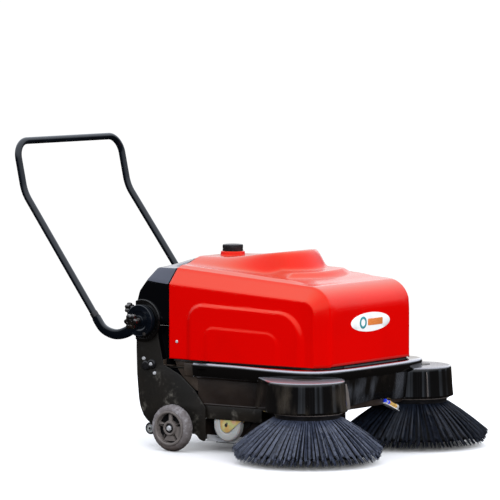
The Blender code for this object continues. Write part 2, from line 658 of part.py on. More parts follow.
def belt_outline(grow):
    """A loop round both pulleys, standing off their rims by grow."""
    big, small = Vector((ROLLER_AHEAD, ROLLER_Z)), Vector((MOTOR_AHEAD, MOTOR_Z))
    run = small - big
    heading = Vector((1, 0)).angle_signed(run) * -1
    lean = acos((ROLLER_PULLEY_RADIUS - MOTOR_PULLEY_RADIUS) / run.length)
    big_arc = circle(ROLLER_PULLEY_RADIUS + grow, 20, tuple(big), heading + lean, 2 * pi - 2 * lean)
    small_arc = circle(MOTOR_PULLEY_RADIUS + grow, 14, tuple(small), heading - lean, 2 * lean)
    return big_arc + small_arc


def make_roller(steel, bristle, black, rubber):
    centre = at(ROLLER_AHEAD, 0, ROLLER_Z)
    core, ends, shaft = ROLLER_CORE_RADIUS, ROLLER_HALF_LENGTH, 0.008
    shaft_right, shaft_left = -0.224, 0.210
    profile = [(0, shaft_left), (shaft, shaft_left), (shaft, ends), (core, ends), (core, -ends),
               (shaft, -ends), (shaft, shaft_right), (0, shaft_right)]
    turned("roller_core", centre, "Y", profile, steel, 32)
    inner, long = core + GAP, ends - 0.004
    sleeve = [(inner, long), (ROLLER_RADIUS, long), (ROLLER_RADIUS, -long), (inner, -long)]
    turned("roller_bristles", centre, "Y", sleeve, bristle, 48, ring=True)
    half = BELT_WIDTH / 2 + 0.0005
    big, small = ROLLER_PULLEY_RADIUS, MOTOR_PULLEY_RADIUS
    pulley = [(shaft + GAP, half), (big, half), (big, -half), (shaft + GAP, -half)]
    turned("roller_pulley", at(ROLLER_AHEAD, -BELT_Y, ROLLER_Z), "Y", pulley, steel, 40, ring=True)
    motor_face = -0.200
    stub_end = motor_face - GAP + BELT_Y
    motor_wheel = [(0, stub_end), (0.007, stub_end), (0.007, half), (small, half), (small, -half), (0, -half)]
    turned("motor_pulley", at(MOTOR_AHEAD, -BELT_Y, MOTOR_Z), "Y", motor_wheel, steel, 32)
    loop = [belt_outline(BELT_THICKNESS + GAP), belt_outline(GAP)]
    upright_plate("drive_belt", loop, -BELT_Y, BELT_WIDTH, rubber)
    length = 0.180
    motor_middle = at(MOTOR_AHEAD, motor_face + length / 2, MOTOR_Z)
    motor = rod("main_motor", motor_middle, "Y", MOTOR_RADIUS, length, steel, 32)
    foot_low = TRAY_Z + TRAY_THICKNESS / 2 + GAP
    foot = block("motor_foot_shape", at(MOTOR_AHEAD - 0.040, motor_face + 0.030, foot_low),
                 at(MOTOR_AHEAD + 0.040, motor_face + length - 0.030, MOTOR_Z - 0.020), steel)
    unite(motor, foot)
    for side, word in SIDES:
        ring = [(shaft + GAP, 0.004), (0.020, 0.004), (0.020, -0.004), (shaft + GAP, -0.004)]
        middle = side * (CHAMBER_Y + GAP + 0.004)
        turned("roller_bearing_" + word, at(ROLLER_AHEAD, middle, ROLLER_Z), "Y", ring, steel, 24, ring=True)


# ---------------------------------------------------------------- hopper and fittings

def make_hopper(satin, nylon):
    front, shelf, step = HOPPER_FRONT, HOPPER_SHELF, HOPPER_STEP
    outer = [(-0.1835, HOPPER_TOP), (-0.1835, 0.335), (-0.178, 0.210), (-0.166, 0.152), (-0.149, 0.138),
             (-0.128, 0.130), (front, 0.110), (front, shelf), (step, shelf), (step, HOPPER_TOP)]
    wall = HOPPER_WALL
    room = [(-0.1795, HOPPER_TOP + 0.02), (-0.1795, 0.335), (-0.174, 0.211), (-0.163, 0.155), (-0.148, 0.142),
            (-0.128, 0.1345), (front - wall, 0.1145), (front - wall, 0.150), (front + 0.02, 0.150),
            (front + 0.02, 0.245), (front - wall, 0.245), (front - wall, shelf - wall),
            (step - wall, shelf - wall), (step - wall, HOPPER_TOP + 0.02)]
    hopper = as_mesh(upright_plate("dust_hopper", [outer], 0, 2 * HOPPER_HALF_WIDTH, satin))
    hollow = as_mesh(upright_plate("hopper_room", [room], 0, 2 * (HOPPER_HALF_WIDTH - HOPPER_WALL), satin))
    carve(hopper, hollow)
    grip = block("hopper_grip_shape", at(-0.2090, -0.090, 0.352), at(-0.1815, 0.090, 0.366), satin)
    unite(hopper, grip)
    r, wheel_half, pin = HOPPER_WHEEL_RADIUS, 0.008, 0.004
    for side, word in SIDES:
        middle = side * HOPPER_WHEEL_Y
        tyre = [(pin + GAP, wheel_half), (r - 0.002, wheel_half), (r, wheel_half - 0.002),
                (r, 0.002 - wheel_half), (r - 0.002, -wheel_half), (pin + GAP, -wheel_half)]
        turned("hopper_wheel_" + word, at(HOPPER_WHEEL_AHEAD, middle, HOPPER_WHEEL_Z), "Y", tyre, nylon, 28,
               ring=True)
        lug_outline = [(HOPPER_WHEEL_AHEAD - 0.010, HOPPER_WHEEL_Z)]
        lug_outline += circle(0.010, 8, (HOPPER_WHEEL_AHEAD, HOPPER_WHEEL_Z), pi * 1.1, pi * 0.8)
        lug_outline += [(-0.130, 0.134), (-0.160, 0.158), (-0.1780, 0.145)]
        lug = as_mesh(upright_plate("lug_shape_" + word, [lug_outline], middle - side * (wheel_half + 0.0023),
                                    0.004, satin))
        axle = rod("lug_pin_" + word, at(HOPPER_WHEEL_AHEAD, middle - side * 0.002, HOPPER_WHEEL_Z), "Y", pin,
                   0.021, satin, 12)
        unite(hopper, lug, axle)


def make_inner_units(black, steel, filter_white):
    tray_top = TRAY_Z + TRAY_THICKNESS / 2 + GAP
    soften(block("battery", at(0.235, -0.165, tray_top), at(0.500, 0.165, 0.470), black), 0.006)
    soften(block("filter_panel", at(-0.170, -0.200, 0.445), at(-0.060, 0.200, 0.495), filter_white), 0.004)
    deck_top = DECK_Z + DECK_THICKNESS / 2 + GAP
    soften(block("spray_pump", at(0.010, 0.060, deck_top), at(0.064, 0.150, 0.350), black), 0.006)
    rocker = [(-0.1895, 0.468), (-0.1920, 0.480), (-0.2000, 0.480), (-0.1970, 0.468), (-0.2000, 0.456),
              (-0.1920, 0.456)]
    upright_plate("power_switch", [rocker], 0.120, 0.024, black)


def make_spray_nozzle(brass, zinc):
    """A brass jet on an angle bracket below the front wall, aimed forward and down."""
    aim = Matrix.Rotation(radians(-38), 4, 'X')
    origin = at(0.600, 0.110, 0.160)
    profile = [(0, 0.028), (0.0055, 0.028), (0.0055, 0.006), (0.0075, 0.005), (0.0075, -0.008),
               (0.0050, -0.009), (0.0050, -0.024), (0, -0.024)]
    nozzle = turned("spray_nozzle", origin, "Z", profile, brass, 20)
    nozzle.matrix_world = Matrix.Translation(origin) @ aim.inverted()
    arm = block("nozzle_bracket", at(0.588, 0.085, 0.140), at(0.5905, 0.135, 0.2850), zinc)
    return nozzle, arm


# ---------------------------------------------------------------- the machine

clear_scene()
PARTS = new_collection(OBJECT_NAME)
CUTTERS = new_collection(CUTTER_COLLECTION)

hood_red = finish("hood_red", (0.72, 0.0, 0.0), 0.22)
gloss_black = finish("gloss_black", (0.012, 0.012, 0.014), 0.12)
satin_black = finish("satin_black", (0.025, 0.021, 0.018), 0.45)
tube_black = finish("tube_black", (0.020, 0.022, 0.026), 0.35)
knob_black = finish("knob_black", (0.012, 0.012, 0.013), 0.40)
dark_steel = finish("dark_steel", (0.080, 0.075, 0.070), 0.45, 0.8)
zinc_plate = finish("zinc_plate", (0.52, 0.53, 0.55), 0.35, 1.0)
yellow_zinc_plate = finish("yellow_zinc_plate", (0.62, 0.42, 0.16), 0.32, 1.0)
brass_metal = finish("brass_metal", (0.60, 0.38, 0.12), 0.30, 1.0)
tyre_grey = finish("tyre_grey", (0.24, 0.22, 0.23), 0.80)
rim_grey = finish("rim_grey", (0.095, 0.080, 0.078), 0.60)
nylon_white = finish("nylon_white", (0.50, 0.50, 0.49), 0.40)
bristle_blue = finish("bristle_blue", (0.045, 0.050, 0.085), 0.55)
filter_white = finish("filter_white", (0.60, 0.60, 0.55), 0.90)
belt_rubber = finish("belt_rubber", (0.020, 0.020, 0.020), 0.70)

make_hood(hood_red)
make_filler_cap(knob_black)
make_hood_fittings(hood_red, zinc_plate)
make_rear_cover(gloss_black)
make_chassis(gloss_black, satin_black, dark_steel, zinc_plate)
make_handle(tube_black, satin_black)
make_rear_wheels(tyre_grey, rim_grey, zinc_plate)
make_casters(nylon_white, yellow_zinc_plate)
make_side_brushes(knob_black, bristle_blue, dark_steel)
make_roller(dark_steel, bristle_blue, knob_black, belt_rubber)
make_hopper(satin_black, nylon_white)
make_inner_units(knob_black, dark_steel, filter_white)
make_spray_nozzle(brass_metal, zinc_plate)
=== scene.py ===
"""Looks of a walk-behind sweeper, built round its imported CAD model.

Metres, in the CAD's frame: +X forward, +Y to the operator's left, +Z up, floor at z = 0. "Ahead" is a
distance in front of the rear wheels' axle. Right is the -Y side, the one nearest the camera.
"""
import random
from math import acos, asin, atan2, cos, hypot, pi, radians, sin, tan

import bmesh
import bpy
from mathutils import Matrix, Vector


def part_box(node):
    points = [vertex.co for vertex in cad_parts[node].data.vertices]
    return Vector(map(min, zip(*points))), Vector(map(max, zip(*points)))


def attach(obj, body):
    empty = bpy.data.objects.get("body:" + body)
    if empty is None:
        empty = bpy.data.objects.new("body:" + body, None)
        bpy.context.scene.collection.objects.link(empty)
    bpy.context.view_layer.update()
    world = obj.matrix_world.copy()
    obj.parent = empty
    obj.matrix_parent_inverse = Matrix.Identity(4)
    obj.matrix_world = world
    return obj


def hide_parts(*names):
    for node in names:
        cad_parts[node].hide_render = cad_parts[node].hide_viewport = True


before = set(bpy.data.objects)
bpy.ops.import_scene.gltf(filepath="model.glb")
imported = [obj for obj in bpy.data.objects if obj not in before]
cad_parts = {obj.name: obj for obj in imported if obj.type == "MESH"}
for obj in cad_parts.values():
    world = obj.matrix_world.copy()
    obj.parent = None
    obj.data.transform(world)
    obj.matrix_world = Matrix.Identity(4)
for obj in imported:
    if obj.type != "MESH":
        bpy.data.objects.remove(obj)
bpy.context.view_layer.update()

SIDES = ((-1, "right"), (1, "left"))
wheel_low, wheel_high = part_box("rear_tyre_right")
AXLE_X = (wheel_low[0] + wheel_high[0]) / 2
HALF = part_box("hood")[1][1]             # half width of the hood


def at(ahead, y, z):
    """A point in the object's frame, from its distance ahead of the rear axle."""
    return Vector((AXLE_X + ahead, y, z))


def mix(a, b, t):
    return a + (b - a) * t


def ease(t):
    """0 to 1 with a smooth start and end."""
    t = min(max(t, 0.0), 1.0)
    return t * t * (3 - 2 * t)


# ---------------------------------------------------------------- materials

class Finish:
    """A Principled material with a few helpers for its procedural detail."""

    def __init__(self, name, colour, roughness, metallic=0.0, **sockets):
        self.material = bpy.data.materials.new(name)
        self.material.use_nodes = True
        self.nodes, self.links = self.material.node_tree.nodes, self.material.node_tree.links
        self.shader = self.nodes["Principled BSDF"]
        self.colour, self.roughness = colour, roughness
        self.shader.inputs["Base Color"].default_value = (*colour, 1)
        self.shader.inputs["Roughness"].default_value = roughness
        self.shader.inputs["Metallic"].default_value = metallic
        for socket, value in sockets.items():
            self.shader.inputs[socket.replace("_", " ")].default_value = value
        self.place = self.add("ShaderNodeTexCoord").outputs["Object"]
        self.paint = None
        self.shine = None
        self.normal = None

    def add(self, kind, **values):
        node = self.nodes.new(kind)
        for key, value in values.items():
            setattr(node, key, value)
        return node

    def noise(self, scale, detail, stretch=(1, 1, 1), roughness=0.55):
        """Noise in object space, 0 to 1, stretched along an axis where stretch is small."""
        mapping = self.add("ShaderNodeMapping")
        mapping.inputs["Scale"].default_value = stretch
        self.links.new(self.place, mapping.inputs["Vector"])
        node = self.add("ShaderNodeTexNoise")
        node.inputs["Scale"].default_value = scale
        node.inputs["Detail"].default_value = detail
        node.inputs["Roughness"].default_value = roughness
        self.links.new(mapping.outputs["Vector"], node.inputs["Vector"])
        return node.outputs["Fac"]

    def ramp(self, value, low, high):
        """0 to 1, smoothly, as a value goes from low to high."""
        node = self.add("ShaderNodeMapRange", interpolation_type='SMOOTHSTEP')
        node.inputs["From Min"].default_value = low
        node.inputs["From Max"].default_value = high
        self.links.new(value, node.inputs["Value"])
        return node.outputs["Result"]

    def times(self, a, b):
        node = self.add("ShaderNodeMath", operation='MULTIPLY')
        for socket, value in zip(node.inputs, (a, b)):
            if isinstance(value, (int, float)):
                socket.default_value = value
            else:
                self.links.new(value, socket)
        return node.outputs[0]

    def facing_up(self, low, high):
        """How far the surface faces the sky."""
        split = self.add("ShaderNodeSeparateXYZ")
        self.links.new(self.add("ShaderNodeNewGeometry").outputs["Normal"], split.inputs[0])
        return self.ramp(split.outputs["Z"], low, high)

    def height(self, low, high):
        """How high the surface stands, as a share of the way from low to high."""
        split = self.add("ShaderNodeSeparateXYZ")
        self.links.new(self.place, split.inputs[0])
        return self.ramp(split.outputs["Z"], low, high)

    def tint(self, colour, mask):
        """Mix another colour over the paint where the mask is 1."""
        node = self.add("ShaderNodeMix", data_type='RGBA')
        node.inputs[6].default_value = (*self.colour, 1)
        if self.paint is not None:
            self.links.new(self.paint, node.inputs[6])
        node.inputs[7].default_value = (*colour, 1)
        self.links.new(mask, node.inputs[0])
        self.paint = node.outputs[2]
        self.links.new(self.paint, self.shader.inputs["Base Color"])
        return self

    def dull(self, roughness, mask):
        """Change the roughness towards a value where the mask is 1."""
        node = self.add("ShaderNodeMix", data_type='FLOAT')
        node.inputs[2].default_value = self.roughness
        if self.shine is not None:
            self.links.new(self.shine, node.inputs[2])
        node.inputs[3].default_value = roughness
        self.links.new(mask, node.inputs[0])
        self.shine = node.outputs[0]
        self.links.new(self.shine, self.shader.inputs["Roughness"])
        return self

    def bump(self, value, strength, distance):
        node = self.add("ShaderNodeBump")
        node.inputs["Strength"].default_value = strength
        node.inputs["Distance"].default_value = distance
        self.links.new(value, node.inputs["Height"])
        if self.normal is not None:
            self.links.new(self.normal, node.inputs["Normal"])
        self.normal = node.outputs["Normal"]
        self.links.new(self.normal, self.shader.inputs["Normal"])
        return self

    def patches(self, colour, scale, detail, low, high, **noise):
        """Another colour in irregular patches."""
        return self.tint(colour, self.ramp(self.noise(scale, detail, **noise), low, high))

    def scuffs(self, roughness, scale, detail, low, high, **noise):
        """Another roughness in irregular patches."""
        return self.dull(roughness, self.ramp(self.noise(scale, detail, **noise), low, high))

    def grain(self, scale, detail, strength, distance, **noise):
        """A fine relief."""
        return self.bump(self.noise(scale, detail, **noise), strength, distance)


def hood_and_shell_finishes():
    red = Finish("red_moulding", (0.60, 0.0004, 0.0002), 0.15, Specular_Tint=(1.0, 0.74, 0.44, 1.0))
    red.patches((0.54, 0.0005, 0.0003), 3.5, 2, 0.45, 0.75)
    # Painted sky sheen: faces turned up are tinted salmon in the base colour.
    red.tint((0.50, 0.050, 0.026), red.facing_up(0.45, 0.98))
    red.dull(0.24, red.times(red.ramp(red.noise(70, 6), 0.5, 0.9), red.facing_up(0.0, 0.7)))
    red.grain(420, 2, 0.03, 0.0002)

    cover = Finish("cover_black", (0.0012, 0.0014, 0.0020), 0.10, Specular_IOR_Level=0.28,
                   Coat_Weight=0.15, Coat_Roughness=0.05)
    # Painted sky reflection: faces turned up are tinted pale blue.
    cover.tint((0.040, 0.046, 0.070), cover.times(cover.facing_up(0.25, 0.75), 0.9))
    cover.scuffs(0.20, 30, 7, 0.50, 0.85).grain(300, 3, 0.04, 0.0003)
    return {"red": red, "cover": cover}


def glossy_black(name, roughness, coat, coat_roughness):
    """Black gloss paint or moulding, before its patches."""
    colour = (0.0022, 0.0021, 0.0022)
    return Finish(name, colour, roughness, Coat_Weight=coat, Coat_Roughness=coat_roughness)


def chassis_finishes():
    drawn, tall = (1, 1, 0.35), (1, 1, 0.30)
    gloss = glossy_black("gloss_black", 0.06, 0.6, 0.03)
    gloss.patches((0.010, 0.008, 0.007), 18, 6, 0.55, 0.85).scuffs(0.22, 45, 8, 0.55, 0.90, stretch=drawn)
    gloss.grain(9, 2, 0.16, 0.003, stretch=tall)

    tray = glossy_black("tray_black", 0.05, 0.6, 0.03).patches((0.010, 0.008, 0.007), 18, 6, 0.55, 0.85)
    # Painted highlight: the rolled lip, between flat and upright, is tinted pale grey.
    tray.tint((0.30, 0.31, 0.36), tray.times(tray.facing_up(0.28, 0.62), tray.facing_up(0.985, 0.90)))
    tray.scuffs(0.16, 45, 8, 0.55, 0.90, stretch=drawn).grain(9, 2, 0.10, 0.003, stretch=tall)

    wavy = Finish("wavy_black", (0.0030, 0.0028, 0.0028), 0.09, Coat_Weight=0.6, Coat_Roughness=0.05)
    wavy.patches((0.014, 0.011, 0.009), 16, 6, 0.50, 0.85)
    # Painted reflection: long pale streaks stand in for the surroundings mirrored in the wall.
    wavy.patches((0.040, 0.043, 0.050), 4.5, 3, 0.50, 0.66, stretch=(0.3, 2.4, 0.9))
    wavy.scuffs(0.30, 30, 8, 0.52, 0.85).grain(9, 3, 1.0, 0.030, stretch=(1, 1, 0.7))

    cup = Finish("cup_black", (0.0024, 0.0022, 0.0022), 0.07, Coat_Weight=0.5, Coat_Roughness=0.04)
    # Painted reflection: brownish streaks, stretched upright, stand in for the surroundings mirrored in the
    # wall.
    cup.patches((0.036, 0.030, 0.024), 9, 6, 0.50, 0.72, stretch=(1, 1, 0.4))
    # The lid's top is tinted grey: dust, and painted sky reflection.
    cup.tint((0.125, 0.124, 0.142), cup.facing_up(0.93, 0.995))
    # Painted highlight: the rolled rim, between flat and upright, is tinted pale grey.
    cup.tint((0.20, 0.205, 0.235), cup.times(cup.facing_up(0.40, 0.70), cup.facing_up(0.985, 0.93)))
    cup.dull(0.42, cup.facing_up(0.93, 0.995)).scuffs(0.20, 45, 8, 0.58, 0.90, stretch=drawn)
    cup.grain(6, 2, 0.14, 0.006, stretch=(1, 1, 0.45))

    plate = Finish("painted_steel", (0.0085, 0.0078, 0.0068), 0.32)
    smudge = plate.ramp(plate.noise(17, 9, roughness=0.72), 0.54, 0.76)
    plate.tint((0.15, 0.14, 0.12), plate.times(smudge, plate.height(0.32, 0.20)))
    plate.patches((0.016, 0.013, 0.010), 5, 4, 0.45, 0.8).dull(0.62, smudge).grain(240, 5, 0.10, 0.0004)

    box = Finish("box_plastic", (0.0125, 0.0085, 0.0070), 0.32).patches((0.025, 0.018, 0.014), 8, 5, 0.40,
                                                                        0.80)
    box.scuffs(0.50, 40, 6, 0.45, 0.8).grain(180, 5, 0.12, 0.0004)

    # Painted light: a lighter copy of the box plastic for the shelf and corner web, which sit in shade.
    web = Finish("box_plastic_brightened", (0.030, 0.022, 0.017), 0.36).patches((0.055, 0.043, 0.034), 20, 6, 0.42, 0.80)
    web.scuffs(0.55, 50, 6, 0.45, 0.8).grain(180, 5, 0.12, 0.0004)
    return {"gloss": gloss, "tray": tray, "wavy": wavy, "cup": cup, "plate": plate, "box": box, "web": web}


def handle_finishes():
    tube = Finish("powder_coat", (0.0018, 0.0026, 0.0042), 0.15, Specular_IOR_Level=0.35,
                  Coat_Weight=0.3, Coat_Roughness=0.09, Coat_Tint=(0.70, 0.86, 1.0, 1.0))
    tube.patches((0.0040, 0.0055, 0.0085), 12, 4, 0.40, 0.75).scuffs(0.22, 40, 4, 0.5, 0.8)
    tube.grain(120, 2, 0.03, 0.0002)

    knob = Finish("knob_plastic", (0.0045, 0.0045, 0.0050), 0.30).patches((0.011, 0.011, 0.013), 60, 5, 0.4,
                                                                          0.8)
    knob.scuffs(0.5, 120, 4, 0.45, 0.8).grain(700, 3, 0.18, 0.0003)

    shiny = Finish("shiny_knob", (0.0040, 0.0036, 0.0036), 0.10, Coat_Weight=0.5, Coat_Roughness=0.05)
    shiny.patches((0.016, 0.011, 0.008), 40, 4, 0.45, 0.75)
    # Painted highlight: faces turned up are tinted pale grey.
    shiny.tint((0.085, 0.080, 0.076), shiny.times(shiny.facing_up(0.30, 0.85), 0.8))
    shiny.scuffs(0.25, 90, 4, 0.5, 0.8).grain(200, 2, 0.05, 0.0003)
    return {"tube": tube, "knob": knob, "shiny": shiny}


def wheel_finishes():
    tyre = Finish("scuffed_tyre", (0.125, 0.112, 0.114), 0.78)
    tyre.patches((0.27, 0.26, 0.275), 38, 8, 0.44, 0.70, roughness=0.7)
    tyre.patches((0.060, 0.045, 0.036), 16, 6, 0.48, 0.74)
    # Darker brown towards the bottom of the tyre.
    tyre.tint((0.050, 0.036, 0.030), tyre.times(tyre.height(0.075, 0.005), 0.75))
    tyre.scuffs(0.92, 55, 4, 0.4, 0.7).grain(300, 7, 0.5, 0.0010, roughness=0.75)

    rim = Finish("rim_plastic", (0.108, 0.095, 0.090), 0.50).patches((0.165, 0.146, 0.138), 30, 6, 0.40, 0.8)
    rim.scuffs(0.7, 60, 5, 0.4, 0.8).grain(260, 5, 0.22, 0.0006)

    nylon = Finish("nylon", (0.37, 0.37, 0.365), 0.40, Subsurface_Weight=0.15)
    nylon.patches((0.29, 0.28, 0.27), 24, 6, 0.48, 0.80).scuffs(0.55, 90, 5, 0.4, 0.8)
    nylon.grain(200, 4, 0.15, 0.0004)

    rubber = Finish("rubber", (0.014, 0.013, 0.013), 0.62).patches((0.030, 0.028, 0.026), 60, 6, 0.42, 0.8)
    rubber.grain(700, 4, 0.2, 0.0004)
    return {"tyre": tyre, "rim": rim, "nylon": nylon, "rubber": rubber}


def metal_finishes():
    passivate = Finish("yellow_zinc", (0.66, 0.42, 0.15), 0.38, 0.35)
    passivate.patches((0.62, 0.62, 0.26), 34, 4, 0.42, 0.62).patches((0.80, 0.42, 0.36), 22, 5, 0.54, 0.72)
    passivate.scuffs(0.48, 80, 5, 0.4, 0.8).grain(420, 4, 0.12, 0.0003)

    zinc = Finish("bright_zinc", (0.62, 0.63, 0.66), 0.34, 0.45).patches((0.42, 0.42, 0.42), 40, 6, 0.45, 0.8)
    zinc.scuffs(0.5, 110, 5, 0.4, 0.8).grain(500, 4, 0.12, 0.0003)

    # Painted light: a lighter, less metallic copy of the zinc for the slotted strips and nozzle angle, which
    # sit in shade.
    pale = Finish("zinc_brightened", (0.86, 0.87, 0.90), 0.38, 0.15).patches((0.55, 0.54, 0.52), 50, 6, 0.48, 0.8)
    pale.scuffs(0.55, 110, 5, 0.4, 0.8).grain(400, 4, 0.12, 0.0003)

    brass = Finish("brass", (0.78, 0.49, 0.15), 0.32, 0.45).patches((0.55, 0.33, 0.10), 90, 5, 0.45, 0.8)
    brass.scuffs(0.42, 200, 4, 0.4, 0.8).grain(1500, 3, 0.12, 0.0002, stretch=(1, 1, 6))

    steel = Finish("dull_steel", (0.075, 0.070, 0.064), 0.42, 0.75)
    steel.patches((0.045, 0.036, 0.030), 14, 7, 0.42, 0.75).scuffs(0.65, 50, 6, 0.4, 0.8)
    steel.grain(300, 5, 0.15, 0.0004)
    return {"yellow_zinc": passivate, "zinc": zinc, "pale": pale, "brass": brass, "steel": steel}


def brush_finishes():
    bristle = Finish("bristle", (0.038, 0.047, 0.078), 0.33).patches((0.076, 0.090, 0.134), 75, 4, 0.46, 0.70)
    bristle.patches((0.006, 0.007, 0.012), 110, 3, 0.50, 0.70).scuffs(0.6, 160, 4, 0.4, 0.8)

    # Painted shade: a darker copy of the bristle for the far brush, which the body shades.
    shaded = Finish("bristle_painted_shade", (0.0060, 0.0088, 0.0160), 0.42, Specular_IOR_Level=0.22)
    shaded.patches((0.018, 0.023, 0.036), 75, 4, 0.50, 0.74).patches((0.003, 0.003, 0.005), 60, 3, 0.48, 0.68)
    shaded.scuffs(0.6, 160, 4, 0.4, 0.8)

    shade = Finish("brush_shade", (0.0020, 0.0020, 0.0024), 0.9)
    shade.patches((0.0045, 0.0045, 0.0055), 90, 4, 0.45, 0.8).grain(150, 4, 0.3, 0.002)
    return {"bristle": bristle, "shaded": shaded, "shade": shade}


def small_finishes():
    blue = Finish("blue_collet", (0.010, 0.035, 0.72), 0.28).patches((0.02, 0.08, 0.55), 300, 3, 0.4, 0.8)
    blue.grain(1200, 2, 0.1, 0.0002)
    badge = Finish("badge_white", (0.86, 0.86, 0.86), 0.22, Coat_Weight=0.6, Coat_Roughness=0.05)
    badge.patches((0.78, 0.79, 0.80), 50, 3, 0.45, 0.8)
    teal = Finish("badge_teal", (0.035, 0.24, 0.27), 0.25, Coat_Weight=0.6)
    teal.patches((0.06, 0.32, 0.34), 120, 3, 0.4, 0.8)
    orange = Finish("badge_orange", (0.62, 0.17, 0.035), 0.25, Coat_Weight=0.6)
    orange.patches((0.75, 0.28, 0.10), 400, 3, 0.45, 0.7)
    return {"blue": blue, "badge": badge, "teal": teal, "orange": orange}


# ---------------------------------------------------------------- mesh tools

def piece(name, mesh, finish, body, replaces=(), sharp=32):
    """Put a mesh in the scene as one finished piece that rides on a body."""
    mesh.materials.clear()
    mesh.materials.append(FINISH[finish].material)
    mesh.shade_smooth()
    mesh.set_sharp_from_angle(angle=radians(sharp))
    thing = bpy.data.objects.new(name, mesh)
    bpy.context.scene.collection.objects.link(thing)
    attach(thing, body)
    if replaces:
        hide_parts(*replaces)
    return thing


def from_bmesh(name, bm):
    bmesh.ops.recalc_face_normals(bm, faces=bm.faces)
    mesh = bpy.data.meshes.new(name)
    bm.to_mesh(mesh)
    bm.free()
    return mesh


def join_meshes(name, meshes):
    """Several closed meshes as one mesh."""
    bm = bmesh.new()
    for mesh in meshes:
        bm.from_mesh(mesh)
    result = bpy.data.meshes.new(name)
    bm.to_mesh(result)
    bm.free()
    return result


def middle(low, high):
    """The middle of a box."""
    return Vector(((low[0] + high[0]) / 2, (low[1] + high[1]) / 2, (low[2] + high[2]) / 2))


def smooth_line(points, steps):
    """A smooth line through flat points, with so many steps between one and the next."""
    last = len(points) - 1
    line = []
    for i in range(last):
        p0, p1 = Vector(points[max(i - 1, 0)]), Vector(points[i])
        p2, p3 = Vector(points[i + 1]), Vector(points[min(i + 2, last)])
        for k in range(steps):
            t = k / steps
            line.append(0.5 * ((2 * p1) + (p2 - p0) * t + (2 * p0 - 5 * p1 + 4 * p2 - p3) * t * t
                               + (3 * p1 - p0 - 3 * p2 + p3) * t ** 3))
    return line + [Vector(points[-1])]


def moved_out(outline, distance):
    """A closed outline with each of its points moved outwards."""
    moved = []
    for i, p in enumerate(outline):
        run = (outline[(i + 1) % len(outline)] - outline[i - 1]).normalized()
        moved.append(p + Vector((run.y, -run.x)) * distance)
    return moved


def skin_mesh(name, rows):
    """An open skin through rows of points."""
    bm = bmesh.new()
    grid = [[bm.verts.new(p) for p in row] for row in rows]
    for rear, front in zip(grid, grid[1:]):
        for a, b, c, d in zip(rear, front, front[1:], rear[1:]):
            bm.faces.new((a, b, c, d))
    bmesh.ops.remove_doubles(bm, verts=bm.verts, dist=1e-5)
    return from_bmesh(name, bm)


def thicken(skin, thickness=0.004):
    """Give a skin its wall, inwards."""
    wall = skin.modifiers.new("wall", 'SOLIDIFY')
    wall.thickness, wall.offset = thickness, -1.0


def strip_of_rings(bm, rings, capped=True):
    """Quads between rings of points, with end caps."""
    made = [[bm.verts.new(p) for p in ring] for ring in rings]
    count = len(made[0])
    for a, b in zip(made, made[1:]):
        for i in range(count):
            j = (i + 1) % count
            bm.faces.new((a[i], a[j], b[j], b[i]))
    if capped:
        bm.faces.new(made[0][::-1])
        bm.faces.new(made[-1])


AXIS_TURN = {"X": Matrix.Rotation(pi / 2, 4, 'Y'), "Y": Matrix.Rotation(-pi / 2, 4, 'X'), "Z": Matrix()}


def lathe(name, centre, axis, profile, steps=48, ring=False, flip=False, wave=None):
    """A (radius, height) profile turned about an axis. A wave may change the radius by angle."""
    turn = Matrix.Translation(centre) @ AXIS_TURN[axis]
    if flip:
        turn = turn @ Matrix.Rotation(pi, 4, 'X')
    bm = bmesh.new()
    columns = []
    for i in range(steps):
        a = 2 * pi * i / steps
        column = []
        for radius, height in profile:
            r = radius + (wave(a, radius, height) if wave else 0.0)
            column.append(turn @ Vector((r * cos(a), r * sin(a), height)))
        columns.append([bm.verts.new(p) for p in column])
    count = len(profile)
    for i in range(steps):
        a, b = columns[i], columns[(i + 1) % steps]
        for j in range(count if ring else count - 1):
            k = (j + 1) % count
            bm.faces.new((a[j], b[j], b[k], a[k]))
    bmesh.ops.remove_doubles(bm, verts=bm.verts, dist=1e-6)
    return from_bmesh(name, bm)


def softened(profile, radius=0.001, steps=3, ring=False):
    """A profile with its corners rounded."""
    points = [Vector(p) for p in profile]
    count = len(points)
    out = []
    for i, corner in enumerate(points):
        if not ring and i in (0, count - 1):
            out.append(tuple(corner))
            continue
        before, after = points[i - 1], points[(i + 1) % count]
        back, on = before - corner, after - corner
        reach = min(radius, back.length * 0.45, on.length * 0.45)
        a, b = corner + back.normalized() * reach, corner + on.normalized() * reach
        for k in range(steps + 1):
            t = k / steps
            out.append(tuple(a * (1 - t) ** 2 + corner * 2 * t * (1 - t) + b * t * t))
    return out


def box_mesh(name, low, high, edge, segments=2):
    """A block with rounded edges."""
    bm = bmesh.new()
    bmesh.ops.create_cube(bm, size=1.0)
    low, high = Vector(low), Vector(high)
    size = high - low
    for v in bm.verts:
        v.co = low + Vector((size.x * (v.co.x + 0.5), size.y * (v.co.y + 0.5), size.z * (v.co.z + 0.5)))
    bmesh.ops.bevel(bm, geom=bm.edges[:], offset=edge, segments=segments, profile=0.5, affect='EDGES')
    return from_bmesh(name, bm)


def side_box(name, side, ahead, out, height, edge, segments=2):
    """A rounded block on one side, from its ranges ahead of the axle, out from the middle and in height."""
    ys = sorted((side * out[0], side * out[1]))
    return box_mesh(name, at(ahead[0], ys[0], height[0]), at(ahead[1], ys[1], height[1]), edge, segments)


